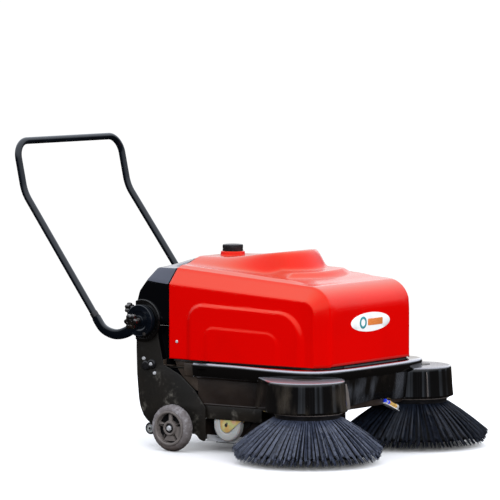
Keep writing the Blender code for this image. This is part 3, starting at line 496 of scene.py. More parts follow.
def flat_shape(name, outlines, thickness, place, edge, segments=2):
    """Flat outlines (the first solid, others holes) with a thickness and rounded edges."""
    curve = bpy.data.curves.new(name, 'CURVE')
    curve.dimensions = '2D'
    curve.fill_mode = 'BOTH'
    curve.extrude = thickness / 2 - edge
    curve.bevel_depth = edge
    curve.offset = -edge
    curve.bevel_resolution = segments
    for outline in outlines:
        spline = curve.splines.new('POLY')
        spline.points.add(len(outline) - 1)
        for point, (u, v) in zip(spline.points, outline):
            point.co = (u, v, 0.0, 1.0)
        spline.use_cyclic_u = True
    thing = bpy.data.objects.new(name, curve)
    bpy.context.scene.collection.objects.link(thing)
    bpy.context.view_layer.update()
    mesh = bpy.data.meshes.new_from_object(thing.evaluated_get(bpy.context.evaluated_depsgraph_get()))
    bpy.data.objects.remove(thing, do_unlink=True)
    bm = bmesh.new()
    bm.from_mesh(mesh)
    bmesh.ops.remove_doubles(bm, verts=bm.verts, dist=1e-5)
    bmesh.ops.transform(bm, matrix=place, verts=bm.verts)
    return from_bmesh(name, bm)


def upright(y):
    """Turns flat (ahead, height) outlines into a plate standing along the machine."""
    return Matrix.Translation(at(0, y, 0)) @ Matrix.Rotation(pi / 2, 4, 'X')


def circle(radius, count, centre=(0.0, 0.0), start=0.0, sweep=2 * pi):
    last = count if abs(sweep) >= 2 * pi else count - 1
    angles = (start + sweep * i / last for i in range(count))
    return [(centre[0] + radius * cos(a), centre[1] + radius * sin(a)) for a in angles]


def rounded_path(corners, radii, steps):
    """Corner points joined by straight runs, each inner corner rounded to its own radius."""
    path = [corners[0]]
    for before, corner, after, radius in zip(corners, corners[1:], corners[2:], radii):
        back, on = (before - corner).normalized(), (after - corner).normalized()
        half = back.angle(on) / 2
        centre = corner + (back + on).normalized() * (radius / sin(half))
        start = corner + back * (radius / tan(half)) - centre
        end = corner + on * (radius / tan(half)) - centre
        sweep = pi - 2 * half
        for i in range(steps + 1):
            t = i / steps
            path.append(centre + (start * sin((1 - t) * sweep) + end * sin(t * sweep)) / sin(sweep))
    path.append(corners[-1])
    return path


def tube_mesh(name, path, radius, sides):
    """A round tube along a path, its rings turned as little as possible from one to the next."""
    bm = bmesh.new()
    side = None
    rings = []
    for i, spot in enumerate(path):
        run = (path[min(i + 1, len(path) - 1)] - path[max(i - 1, 0)]).normalized()
        if side is None:
            side = run.orthogonal().normalized()
        side = (side - run * side.dot(run)).normalized()
        up = run.cross(side)
        rings.append([spot + (side * cos(2 * pi * k / sides) + up * sin(2 * pi * k / sides)) * radius
                      for k in range(sides)])
    strip_of_rings(bm, rings)
    return from_bmesh(name, bm)


def fillet_outline(points, radius, steps=4):
    """A closed outline with rounded corners."""
    return softened(points, radius, steps, ring=True)


# ---------------------------------------------------------------- hood

HOOD_REAR, HOOD_FRONT, HOOD_BOTTOM = -0.047, 0.591, 0.311
TOP_HALF = 0.235                        # where the chamfer meets the top
TOP_REAR, TOP_FRONT, TOP_ARC, TOP_R = 0.616, 0.577, 0.503, 0.088
SIDE_REAR, SIDE_FRONT, SIDE_ARC, SIDE_R = 0.565, 0.531, 0.510, 0.043
NECK_AHEAD, NECK_R, NECK_TOP = 0.015, 0.0425, 0.665
FOOT_ROW = 146                          # rows from here on run down the front face
FLAT_SIDE = 0.0012                      # points this near the side's plane take the arches


def top_edge(ahead):
    return mix(TOP_REAR, TOP_FRONT, (ahead - HOOD_REAR) / (TOP_ARC - HOOD_REAR))


def blend_low(a, b, k):
    """The smaller of two values, with a rounded change from one to the other."""
    h = max(k - abs(a - b), 0.0) / k
    return min(a, b) - h * h * k / 4


def hood_rise(ahead, y):
    """How far the hood's top (side strip, tank and faceted ledge) stands above the chamfer's upper edge."""
    y = abs(y)
    strip = 0.008 * ease((TOP_HALF - y) / 0.030) * ease((0.500 - ahead) / 0.10)
    forward = (ahead - HOOD_REAR) / (0.303 - HOOD_REAR)
    front = (0.236 - hypot(max(ahead - 0.147, 0.0), y)) if ahead > 0.147 else 1.0
    side = mix(0.205, 0.152, min(forward, 1.2)) - y
    crest = mix(0.110, 0.043, ease(forward))
    slope = ease(blend_low(front / 0.062, side / crest, 0.55))
    edge = top_edge(min(ahead, TOP_ARC))
    peak = 0.651 + 0.031 * ease((ahead - 0.02) / 0.36) - edge - 0.008
    facet = min((0.383 - hypot(ahead - 0.05, y)) / 0.024, (0.157 + 0.323 * (ahead - 0.257) - y) / 0.045)
    ledge = 0.020 * min(max(facet, 0.0), 1.0) * ease((ahead - 0.215) / 0.03)
    return strip - blend_low(-peak * slope, -ledge, 0.010)


def arch_relief(ahead, z, left, right, top, r_left, r_right, height, band):
    """Height of an arch that is open at its foot: a steep step along its top, a soft one at its sides."""
    if ahead < left + r_left and z > top - r_left:
        out, up = left + r_left - ahead, z - (top - r_left)
        depth = r_left - hypot(out, up)
    elif ahead > right - r_right and z > top - r_right:
        out, up = ahead - (right - r_right), z - (top - r_right)
        depth = r_right - hypot(out, up)
    else:
        sideways = min(ahead - left, right - ahead)
        depth = min(sideways, top - z)
        out, up = (1.0, 0.0) if sideways < top - z else (0.0, 1.0)
    steep = up / max(hypot(out, up), 1e-6)
    return height * ease(depth / mix(2.6 * band, band, ease(steep)))


def panel_relief(ahead, z):
    """How far the side panel's two nested arches stand out."""
    outer_top, inner_top = mix(0.507, 0.495, (ahead - 0.05) / 0.4), mix(0.431, 0.423, (ahead - 0.1) / 0.3)
    return arch_relief(ahead, z, 0.022, 0.520, outer_top, 0.076, 0.108, 0.0080, 0.0115) \
        + arch_relief(ahead, z, 0.098, 0.424, inner_top, 0.046, 0.062, 0.0022, 0.0100)


def hood_station(s):
    """(upper edge, lower edge, foot) of the hood's side, s from 0 at the rear to 3 at the front's foot."""
    foot_bend, foot_face = 0.42, 0.50
    if s <= 1:
        ahead = mix(HOOD_REAR, TOP_ARC, s)
        return ((ahead, top_edge(ahead)), (mix(HOOD_REAR, SIDE_ARC, s), mix(SIDE_REAR, SIDE_FRONT, s)),
                mix(HOOD_REAR, foot_bend, s))
    if s <= 2:
        t = s - 1
        a = t * pi / 2
        return ((TOP_ARC + TOP_R * sin(a), TOP_FRONT - TOP_R * (1 - cos(a))),
                (SIDE_ARC + SIDE_R * sin(a), SIDE_FRONT - SIDE_R * (1 - cos(a))),
                mix(foot_bend, foot_face, t))
    t = s - 2
    face, edge = TOP_ARC + TOP_R, SIDE_ARC + SIDE_R
    return ((face, mix(TOP_FRONT - TOP_R, HOOD_BOTTOM, t)), (edge, mix(SIDE_FRONT - SIDE_R, HOOD_BOTTOM, t)),
            mix(foot_face, edge, t))


def hood_rows():
    stations = [i / 132 for i in range(133)]
    stations += [1 + i / 16 for i in range(1, 17)]
    stations += [2 + i / 16 for i in range(1, 17)]
    side_count, band_count, top_count = 64, 14, 56
    rows = []
    for s in stations:
        upper, lower, foot = hood_station(s)
        high, low = at(upper[0], -TOP_HALF, upper[1]), at(lower[0], -HALF, lower[1])
        base = at(foot, -HALF, HOOD_BOTTOM)
        half = []
        for i in range(side_count):
            p = base.lerp(low, i / side_count)
            p.y = -HALF
            half.append(p)
        for i in range(band_count):
            half.append(low.lerp(high, i / band_count))
        for i in range(top_count + 1):
            y = -TOP_HALF * (1 - i / top_count)
            half.append(at(upper[0], y, upper[1] + hood_rise(upper[0], y)))
        rows.append(half)
    return rows, side_count


def soften_rows(rows, passes, keep):
    """Average neighbouring points so that creases become small radii; keep says which stay."""
    for _ in range(passes):
        new = [list(row) for row in rows]
        for i in range(1, len(rows) - 1):
            for j in range(1, len(rows[0]) - 1):
                if not keep(i, j):
                    around = (rows[i][j - 1] + rows[i][j + 1] + rows[i - 1][j] + rows[i + 1][j]) / 4
                    new[i][j] = rows[i][j].lerp(around, 0.5)
        rows = new
    return rows


def make_hood():
    half, side_count = hood_rows()
    rows = [row + [Vector((p.x, -p.y, p.z)) for p in reversed(row[:-1])] for row in half]
    rows = soften_rows(rows, 2, lambda i, j: False)
    across = len(rows[0])

    def kept(i, j):
        near_foot = i >= FOOT_ROW
        near_edge = side_count - 8 < min(j, across - 1 - j) < side_count + 20
        return not (near_foot and near_edge)

    rows = soften_rows(rows, 14, kept)
    for row in rows:
        for j, p in enumerate(row):
            if abs(abs(p.y) - HALF) < FLAT_SIDE:
                outward = panel_relief(p.x - AXLE_X, p.z) * (1 if p.y > 0 else -1)
                row[j] = Vector((p.x, p.y + outward, p.z))
    thicken(piece("hood_shell", skin_mesh("hood_skin", rows), "red", "hood", ("hood",), 24))
    neck = softened([(0, NECK_TOP), (0.036, NECK_TOP), (NECK_R - 0.0015, NECK_TOP), (NECK_R, 0.655),
                     (NECK_R + 0.001, 0.652), (NECK_R + 0.008, 0.643)], 0.003)
    piece("filler_neck", lathe("neck", at(NECK_AHEAD, 0, 0), "Z", neck, 64), "red", "hood", (), 30)
    make_badge()


def on_front(y, z, proud):
    return at(HOOD_FRONT + proud, y, z)


def oval_mesh(name, half_y, half_z, proud, thickness, centre):
    """A thin oval plate on the hood's front face with a soft edge and a slight dome."""
    count, dome = 64, 0.0008
    bm = bmesh.new()
    rings = []
    for scale, out in ((1.0, 0.0), (1.0, thickness * 0.6), (0.985, thickness), (0.6, thickness + dome * 0.7),
                       (0.2, thickness + dome)):
        ring = [on_front(centre[0] + half_y * scale * cos(a), centre[1] + half_z * scale * sin(a),
                         proud + out)
                for a in (2 * pi * i / count for i in range(count))]
        rings.append(ring)
    strip_of_rings(bm, rings)
    return from_bmesh(name, bm)


def make_badge():
    """A plain oval plate with a ring and a bar as a generic mark."""
    y, z = -0.003, 0.449
    piece("badge_plate", oval_mesh("badge", 0.1160, 0.0325, -0.0005, 0.0016, (y, z)), "badge", "hood", (), 40)
    ring_out, ring_in = 0.0205, 0.0125
    place = Matrix.Translation(at(HOOD_FRONT + 0.0018, y, z)) @ Matrix.Rotation(pi / 2, 4, 'Z') \
        @ Matrix.Rotation(pi / 2, 4, 'X')
    ring = flat_shape("ring", [circle(ring_out, 40, (-0.046, 0)), circle(ring_in, 32, (-0.046, 0))], 0.0016,
                      place, 0.0002, 1)
    piece("badge_ring", ring, "teal", "hood", (), 40)
    bar = fillet_outline([(-0.018, -0.0115), (0.070, -0.0115), (0.070, 0.0115), (-0.018, 0.0115)], 0.004)
    piece("badge_bar", flat_shape("bar", [bar], 0.0016, place, 0.0002, 1), "orange", "hood", (), 40)


def make_cap():
    """A black cap with a ribbed rim."""
    low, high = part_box("filler_cap")
    r = (high[0] - low[0]) / 2
    bottom, top = low[2], high[2]

    def ribs(angle, radius, height):
        return -0.0008 * (0.5 - 0.5 * cos(36 * angle)) if radius > r * 0.9 and height < top - 0.003 else 0.0

    profile = [(0, top - 0.0015), (r * 0.60, top - 0.0015), (r * 0.66, top)]
    profile += [(r - 0.003, top), (r - 0.001, top - 0.001), (r, top - 0.004), (r, mix(bottom, top, 0.42)),
                (r - 0.0012, mix(bottom, top, 0.40)), (r - 0.0012, mix(bottom, top, 0.34)),
                (r, mix(bottom, top, 0.32)), (r, bottom + 0.001), (r - 0.001, bottom), (0, bottom)]
    mesh = lathe("cap", at(NECK_AHEAD, 0, 0), "Z", profile, 144, wave=ribs)
    piece("filler_cap_ribbed", mesh, "knob", "filler_cap", ("filler_cap",), 40)


def screw_head(name, centre, side, radius, height, finish, body, replaces=()):
    """A pan-head screw with a cross socket, whose head faces outwards."""
    bm = bmesh.new()
    count = 32
    angles = [2 * pi * i / count for i in range(count)]
    rings = []
    for scale, out in ((1.0, 0.0), (1.0, 0.35), (0.93, 0.68), (0.75, 0.92), (0.5, 1.0), (0.34, 1.0)):
        rings.append([centre + Vector((radius * scale * cos(a), side * height * out, radius * scale * sin(a)))
                      for a in angles])
    arms = [radius * (0.30 if round(i / (count / 8)) % 2 else 0.12) for i in range(count)]
    rings.append([centre + Vector((arm * cos(a), side * height * 0.70, arm * sin(a)))
                  for arm, a in zip(arms, angles)])
    strip_of_rings(bm, rings)
    return piece(name, from_bmesh(name, bm), finish, body, replaces, 35)


def hex_bolt(name, centre, side, radius, height, finish, body, washer=1.35):
    """A hexagon head on a washer, facing outwards."""
    bm = bmesh.new()
    count = 36

    def hexagon(a, r):
        k = (a + pi / 6) % (pi / 3) - pi / 6
        return r * 0.866 / cos(k)

    angles = [2 * pi * i / count for i in range(count)]
    rings = []
    for out in (0.0, 0.2):
        rings.append([centre + Vector((radius * washer * cos(a), side * height * out, radius * washer * sin(a)))
                      for a in angles])
    for scale, out in ((1.0, 0.22), (1.0, 0.85), (0.88, 1.0), (0.3, 1.0)):
        rings.append([centre + Vector((hexagon(a, radius) * scale * cos(a), side * height * out,
                                       hexagon(a, radius) * scale * sin(a))) for a in angles])
    strip_of_rings(bm, rings)
    return piece(name, from_bmesh(name, bm), finish, body, (), 30)


# ---------------------------------------------------------------- rear cover

def make_rear_cover():
    """The black shell behind the hood, its sections running from the low rear edge up and forward."""
    bottom = 0.430
    upper = [(-0.1890, 0.440), (-0.1885, 0.470), (-0.1860, 0.505), (-0.1650, 0.565), (-0.1330, 0.613),
             (-0.1250, 0.616), (-0.0900, 0.616), (-0.0520, 0.616)]
    lower = [(-0.1890, 0.438), (-0.1885, 0.465), (-0.1870, 0.492), (-0.1730, 0.538), (-0.1430, 0.574),
             (-0.1350, 0.574), (-0.0950, 0.569), (-0.0520, 0.565)]
    crown = [0.0, 0.0, 0.0, 0.0, 0.0, 0.009, 0.021, 0.031]
    fine = 6
    rows = []
    for i in range((len(upper) - 1) * fine + 1):
        k, t = min(i // fine, len(upper) - 2), (i - min(i // fine, len(upper) - 2) * fine) / fine
        x, z = mix(upper[k][0], upper[k + 1][0], t), mix(upper[k][1], upper[k + 1][1], t)
        sx, sz = mix(lower[k][0], lower[k + 1][0], t), mix(lower[k][1], lower[k + 1][1], t)
        rise = mix(crown[k], crown[k + 1], t)
        foot, low, high = at(sx, -HALF, bottom), at(sx, -HALF, sz), at(x, -TOP_HALF, z)
        half = [foot.lerp(low, j / 10) for j in range(10)] + [low.lerp(high, j / 8) for j in range(8)]
        for j in range(25):
            y = -TOP_HALF * (1 - j / 24)
            half.append(at(x, y, z + rise * ease((TOP_HALF - abs(y)) / 0.14)))
        rows.append(half + [Vector((p.x, -p.y, p.z)) for p in reversed(half[:-1])])
    rows = soften_rows(rows, 1, lambda i, j: False)
    for ahead, inset in ((-0.0515, 0.0075), (-0.0380, 0.0085)):
        rows.append([at(ahead, p.y * (HALF - inset) / HALF,
                        p.z - inset) for p in rows[(len(upper) - 1) * fine]])
    thicken(piece("rear_cover_shell", skin_mesh("cover", rows), "cover", "chassis", ("rear_cover",), 24))


# ---------------------------------------------------------------- handle

PIVOT = (-0.157, 0.4355)
ARM_Y, ARM_T = 0.301, 0.022
JOIN, KNEE, TOP = (-0.348, 0.437), (-0.668, 0.858), (-0.707, 1.035)
BAR_Y = 0.295


def arm_section_path():
    """Middle line of the bent arm, from the tube's end to the pivot disc."""
    return smooth_line([JOIN, (-0.322, 0.404), (-0.290, 0.388), (-0.254, 0.3835), (-0.215, 0.394),
                        (-0.170, 0.420)], 5)


def arm_mesh(name, side):
    """A cast arm with a rounded section that grows towards the disc."""
    path = arm_section_path()
    bm = bmesh.new()
    rings = []
    for i, p in enumerate(path):
        run = (path[min(i + 1, len(path) - 1)] - path[max(i - 1, 0)]).normalized()
        if i == 0:
            run = (Vector(JOIN) - Vector(KNEE)).normalized()
        across = Vector((-run.y, run.x))
        half = mix(0.0155, 0.0190, ease(i / (len(path) - 1)))
        ring = []
        for k in range(24):
            a = 2 * pi * k / 24
            u, v = cos(a), sin(a)
            u = (1 if u > 0 else -1) * abs(u) ** 0.55
            v = (1 if v > 0 else -1) * abs(v) ** 0.55
            q = p + across * (half * u)
            ring.append(at(q.x, side * ARM_Y + v * (ARM_T / 2 - 0.0005), q.y))
        rings.append(ring)
    strip_of_rings(bm, rings)
    return from_bmesh(name, bm)


def star(radius, lobes, depth):
    """A round outline with rounded lobes, depth deep between them."""
    count = 96
    out = []
    for i in range(count):
        a = 2 * pi * i / count
        r = radius - depth * (0.5 - 0.5 * cos(lobes * a)) ** 1.6
        out.append((r * cos(a), r * sin(a)))
    return out


def knob_mesh(name, radius, thickness, matrix):
    """A knob with six lobes: rounded rim, shallow dish on its face."""
    outline = star(radius, 6, radius * 0.24)
    bm = bmesh.new()
    rings = []
    half = thickness / 2
    for scale, h in ((0.80, -half), (0.93, -half * 0.9), (1.0, -half * 0.45), (1.0, half * 0.45),
                     (0.95, half * 0.85), (0.84, half), (0.55, half), (0.48, half * 0.72),
                     (0.30, half * 0.72), (0.26, half * 0.95), (0.10, half * 0.95)):
        rings.append([matrix @ Vector((u * scale, v * scale, h)) for u, v in outline])
    strip_of_rings(bm, rings)
    return from_bmesh(name, bm)


def make_handle():
    lower = at(JOIN[0], -ARM_Y, JOIN[1])
    knee, top = at(KNEE[0], -BAR_Y, KNEE[1]), at(TOP[0], -BAR_Y, TOP[1])
    right = [lower, knee, top]
    left = [Vector((p.x, -p.y, p.z)) for p in reversed(right)]
    path = rounded_path(right + left, (0.14, 0.062, 0.062, 0.14), 18)
    piece("push_tube", tube_mesh("push_tube", path, 0.0122, 44), "tube", "handle", ("handle_tube",), 40)
    run = (Vector(KNEE) - Vector(JOIN)).normalized()
    for side, word in SIDES:
        arm = arm_mesh("arm", side)
        y_in, y_out = ARM_Y - ARM_T / 2, ARM_Y + ARM_T / 2
        rim = softened([(0, y_out - 0.0045), (0.030, y_out - 0.0045), (0.034, y_out - 0.002),
                        (0.0505, y_out - 0.002), (0.0525, y_out - 0.0015), (0.055, y_out - 0.0030),
                        (0.055, y_in + 0.0005), (0, y_in + 0.0005)], 0.0022)
        disc = lathe("disc", at(PIVOT[0], 0, PIVOT[1]), "Y", rim, 72, flip=side < 0)
        hub = softened([(0, y_out + 0.0002), (0.017, y_out + 0.0002), (0.019, y_out - 0.006),
                        (0, y_out - 0.006)],
                       0.0015)
        boss = lathe("hub", at(PIVOT[0], 0, PIVOT[1]), "Y", hub, 40, flip=side < 0)
        piece("handle_casting_" + word, join_meshes("casting", [arm, disc, boss]), "tube", "handle",
              ("handle_arm_" + word,), 35)
        spot = Vector(JOIN) + run * 0.004
        ends = [at(spot.x - run.x * d, side * ARM_Y, spot.y - run.y * d) for d in (0.002, -0.016)]
        piece("tube_collar_" + word, tube_mesh("collar", [ends[0], ends[0].lerp(ends[1], 0.5), ends[1]],
                                               0.0140, 28),
              "knob", "handle", (), 40)
        make_index_plate(side, word)
        hex_bolt("arm_bolt_" + word, at(-0.134, side * (y_out - 0.0025), 0.391), side, 0.0048, 0.0045,
                 "steel", "handle")
        stem_end = y_out + 0.0005
        place = Matrix.Translation(at(PIVOT[0], side * 0.3500, PIVOT[1])) @ AXIS_TURN["Y"]
        if side < 0:
            place = place @ Matrix.Rotation(pi, 4, 'X')
        star_head = knob_mesh("star", 0.0275, 0.021, place)
        stem = lathe("stem", at(PIVOT[0], 0, PIVOT[1]), "Y",
                     softened([(0, 0.342), (0.0125, 0.342), (0.0105, 0.332), (0.0105, stem_end),
                               (0, stem_end)], 0.001),
                     32, flip=side < 0)
        piece("pivot_star_" + word, join_meshes("pivot_star", [star_head, stem]), "shiny",
              "pivot_knob_" + word, ("pivot_knob_" + word,), 40)
        make_cover_knob(side, word)


def make_cover_knob(side, word):
    spot = at(-0.240, side * 0.253, 0.471)
    place = Matrix.Translation(spot) @ Matrix.Rotation(-pi / 2, 4, 'Y')
    head = knob_mesh("cover_star", 0.020, 0.018, place)
    stem = lathe("stem", at(0, side * 0.253, 0.471), "X",
                 softened([(0, -0.1893), (0.0076, -0.1893), (0.0076, -0.226), (0.0095, -0.236),
                           (0, -0.236)], 0.0008),
                 28)
    piece("cover_star_" + word, join_meshes("cover_star", [head, stem]), "shiny", "cover_knob_" + word,
          ("cover_knob_" + word,), 40)


def make_index_plate(side, word):
    """A round boss with a raised rim, cut off flush with the machine's rear edge."""
    chord = 0.031
    reach = acos(-chord / 0.0725)
    base = circle(0.0725, 64, PIVOT, -reach, 2 * reach)
    plate = flat_shape("index", [base], 0.0060, upright(side * 0.2847), 0.0012, 3)
    rim_reach = reach * 0.985
    band = circle(0.0712, 61, PIVOT, -rim_reach, 2 * rim_reach)
    band += circle(0.0612, 61, PIVOT, rim_reach * 0.96, -2 * rim_reach * 0.96)
    rim = flat_shape("rim", [band], 0.0030, upright(side * 0.2887), 0.0009, 3)
    teeth = []
    for i in range(7):
        a = radians(-62 + i * 13)
        centre = Vector(PIVOT) + Vector((cos(a), sin(a))) * 0.0605
        run = Vector((cos(a), sin(a)))
        across = Vector((-run.y, run.x))
        quad = [centre + run * u + across * v for u,
                v in ((-0.003, -0.0028), (0.005, -0.0022), (0.005, 0.0022),
                                                           (-0.003, 0.0028))]
        teeth.append(flat_shape("tooth", [[tuple(q) for q in quad]], 0.0030, upright(side * 0.2882), 0.0006,
                                1))
    piece("index_boss_" + word, join_meshes("index_boss", [plate, rim] + teeth), "gloss", "chassis",
          ("pivot_plate_" + word,), 35)


# ---------------------------------------------------------------- chassis

SIDE_PLATE = [(-0.181, 0.490), (-0.182, 0.427), (-0.192, 0.427), (-0.1925, 0.335), (-0.1895, 0.239),
              (-0.183, 0.170), (-0.1765, 0.138), (-0.163, 0.109), (-0.143, 0.089), (-0.110, 0.072),
              (-0.065, 0.062), (0.062, 0.057), (0.075, 0.040), (0.100, 0.034), (0.100, 0.150),
              (0.056, 0.206), (-0.007, 0.256), (-0.078, 0.289), (-0.102, 0.387), (-0.100, 0.450),
              (-0.125, 0.490)]


def make_side_plates():
    for side, word in SIDES:
        outline = fillet_outline(SIDE_PLATE, 0.010, 4)
        plate = flat_shape("plate", [outline], 0.005, upright(side * 0.2745), 0.0010, 2)
        shelf = side_box("shelf", side, (-0.076, -0.036), (0.262, 0.2790), (0.2855, 0.2878), 0.0008)
        hanger = side_box("hanger", side, (-0.076, -0.073), (0.2625, 0.2790), (0.288, 0.306), 0.0008)
        piece("shelf_" + word, join_meshes("shelf", [shelf, hanger]), "web", "chassis", (), 35)
        piece("side_panel_" + word, plate, "plate", "chassis",
              ("side_plate_" + word,), 35)
        y = side * 0.2770
        for i, (ahead, z, out) in enumerate(((-0.160, 0.304, 0), (-0.125, 0.287, 0.0075),
                                             (-0.114, 0.256, 0))):
            hex_bolt(f"plate_bolt_{i}_{word}", at(ahead, y + side * out, z), side, 0.0052, 0.0055, "zinc",
                     "chassis", 1.2)
        boss = softened([(0, 0.2850), (0.012, 0.2850), (0.0155, 0.2830), (0.0170, 0.2771), (0, 0.2771)],
                        0.0012)
        bosses = [lathe("boss", at(ahead, 0, z), "Y", boss, 40, flip=side < 0)
                  for ahead, z in ((-0.125, 0.287), (-0.149, 0.281))]
        piece("plate_boss_" + word, join_meshes("boss", bosses), "knob", "chassis", (), 40)


def make_side_boxes():
    for side, word in SIDES:
        body = side_box("box", side, (0.062, 0.335), (0.228, 0.270), (0.158, 0.252), 0.007, 4)
        ridge = side_box("ridge", side, (0.060, 0.338), (0.226, 0.2725), (0.246, 0.2545), 0.003, 3)
        foot = side_box("foot", side, (0.0615, 0.3335), (0.230, 0.2715), (0.1585, 0.1655), 0.003, 3)
        apron = side_box("apron", side, (0.078, 0.331), (0.2660, 0.2690), (0.113, 0.165), 0.0012, 2)
        piece("side_case_" + word, join_meshes("case", [body, ridge, foot]), "box", "chassis",
              ("side_box_" + word,), 35)
        piece("side_apron_" + word, apron, "plate", "chassis", (), 35)
        bracket = [(-0.034, 0.3060), (-0.026, 0.281), (0.000, 0.248), (0.056, 0.205), (0.074, 0.205),
                   (0.074, 0.3060)]
        web = flat_shape("web", [fillet_outline(bracket, 0.008)], 0.004, upright(side * 0.2660), 0.001, 2)
        steps = [side_box("step", side, (-0.022, 0.012), (0.262, 0.2715), (0.286, 0.306), 0.004, 3),
                 side_box("step", side, (0.004, 0.066), (0.262, 0.2730), (0.252, 0.300), 0.006, 3)]
        piece("corner_web_" + word, join_meshes("web", [web] + steps), "web", "chassis", (), 35)


def tray_outline(grow):
    """The front tray from above, going round from its rear right corner."""
    half = [(0.066, -0.296), (0.072, -0.304), (0.150, -0.305), (0.250, -0.311), (0.340, -0.328),
            (0.420, -0.342), (0.500, -0.346), (0.550, -0.338), (0.588, -0.316), (0.610, -0.280),
            (0.622, -0.230), (0.628, -0.170), (0.631, -0.080)]
    fine = smooth_line(half, 4)
    return moved_out(fine + [Vector((p.x, -p.y)) for p in reversed(fine)], grow)


def make_tray():
    """The glossy tray round the hood's foot: flat top, rolled edge and a skirt, deep at the sides."""
    def skirt(p):
        ahead = p.x
        return mix(0.2570, 0.2690, ease((ahead - 0.33) / 0.16)) if ahead < 0.60 else 0.2690

    bm = bmesh.new()
    rings = []
    for grow, z in ((-0.060, 0.3060), (-0.034, 0.3056), (-0.014, 0.3050), (-0.0085, 0.3043),
                    (-0.0055, 0.3032), (-0.0030, 0.3014), (-0.0012, 0.2989), (-0.0003, 0.2960),
                    (0.0, 0.2930), (0.0, 0.2800)):
        rings.append([at(p.x, p.y, z) for p in tray_outline(grow)])
    for grow, share in ((-0.0010, 0.5), (-0.0030, 0.10), (-0.0050, 0.0), (-0.0080, 0.0), (-0.0088, 0.15),
                        (-0.0090, 1.0)):
        rings.append([at(p.x, p.y, mix(skirt(p), 0.2840, share)) for p in tray_outline(grow)])
    rings.append([at(p.x, p.y, 0.2840) for p in tray_outline(-0.060)])
    strip_of_rings(bm, rings)
    tray = from_bmesh("tray", bm)
    piece("bumper_tray", tray, "tray", "chassis", ("front_bumper",), 28)
    make_front_wall()
    make_seal()


def make_seal():
    """The dark lip that the hood's foot stands over."""
    plan = [(-0.040, -0.2790), (0.545, -0.2790), (0.585, -0.2300), (0.585, 0.2300), (0.545, 0.2790),
            (-0.040, 0.2790)]
    plan = [Vector(p) for p in fillet_outline(plan, 0.02, 4)]
    bm = bmesh.new()
    rings = []
    for offset, z in ((-0.006, 0.3040), (0.0, 0.3044), (0.0, 0.3085), (-0.003, 0.3105), (-0.006, 0.3085),
                      (-0.006, 0.3040)):
        rings.append([at(p.x, p.y, z) for p in moved_out(plan, offset)])
    strip_of_rings(bm, rings, capped=False)
    bmesh.ops.remove_doubles(bm, verts=bm.verts, dist=1e-6)
    piece("hood_seal", from_bmesh("seal", bm), "rubber", "chassis", (), 40)


def make_front_wall():
    """The curved wall below the tray's front edge, between the brush cups."""
    bm = bmesh.new()
    columns = 40
    outer, inner = [], []
    for i in range(columns + 1):
        y = mix(-0.235, 0.235, i / columns)
        bow = 0.618 - 0.030 * ease((abs(y) - 0.150) / 0.085)
        low = mix(0.1865, 0.177, ease(abs(y) / 0.16))
        outer.append([at(bow + 0.006, y, 0.2850), at(bow + 0.004, y, 0.262), at(bow, y, 0.225),
                      at(bow - 0.006, y, low + 0.004), at(bow - 0.009, y, low)])
        inner.append([at(bow - 0.016, y, low), at(bow - 0.012, y, low + 0.006), at(bow - 0.006, y, 0.2850)])
    rings = [a + b for a, b in zip(outer, inner)]
    strip_of_rings(bm, rings)
    piece("front_wall", from_bmesh("front_wall", bm), "wavy", "chassis", (), 30)
    low = 0.1635
    for side, word in SIDES:
        bm = bmesh.new()
        rings = []
        for i in range(25):
            y = mix(0.235, 0.0002, i / 24)
            front = 0.604 - 0.030 * ease((y - 0.150) / 0.085)
            rings.append([at(front + a, side * y, z) for a, z in ((0, 0.200), (0, low + 0.002), (-0.002, low),
                                                                  (-0.022, low), (-0.022, low + 0.003),
                                                                  (-0.003, low + 0.003), (-0.003, 0.200))])
        strip_of_rings(bm, rings)
        piece("wall_bracket_" + word, from_bmesh("wall_bracket", bm), "box", "chassis", (), 35)


def cup_plan(side, inset, count=72):
    """The cup from above: a round front joined to a small round corner behind it by straight walls."""
    big, small = Vector((0.548, 0.321)), Vector((0.373, 0.312))
    r, corner_r = 0.138, 0.030
    run = big - small
    heading = atan2(run.y, run.x)
    quarter = pi / 2 + asin((r - corner_r) / run.length)
    points = circle(r - inset, count, tuple(big), heading - quarter, 2 * quarter)
    points += circle(max(corner_r - inset, 0.001), 20, tuple(small), heading + quarter, 2 * (pi - quarter))
    return [at(ahead, side * y, 0) for ahead, y in points]


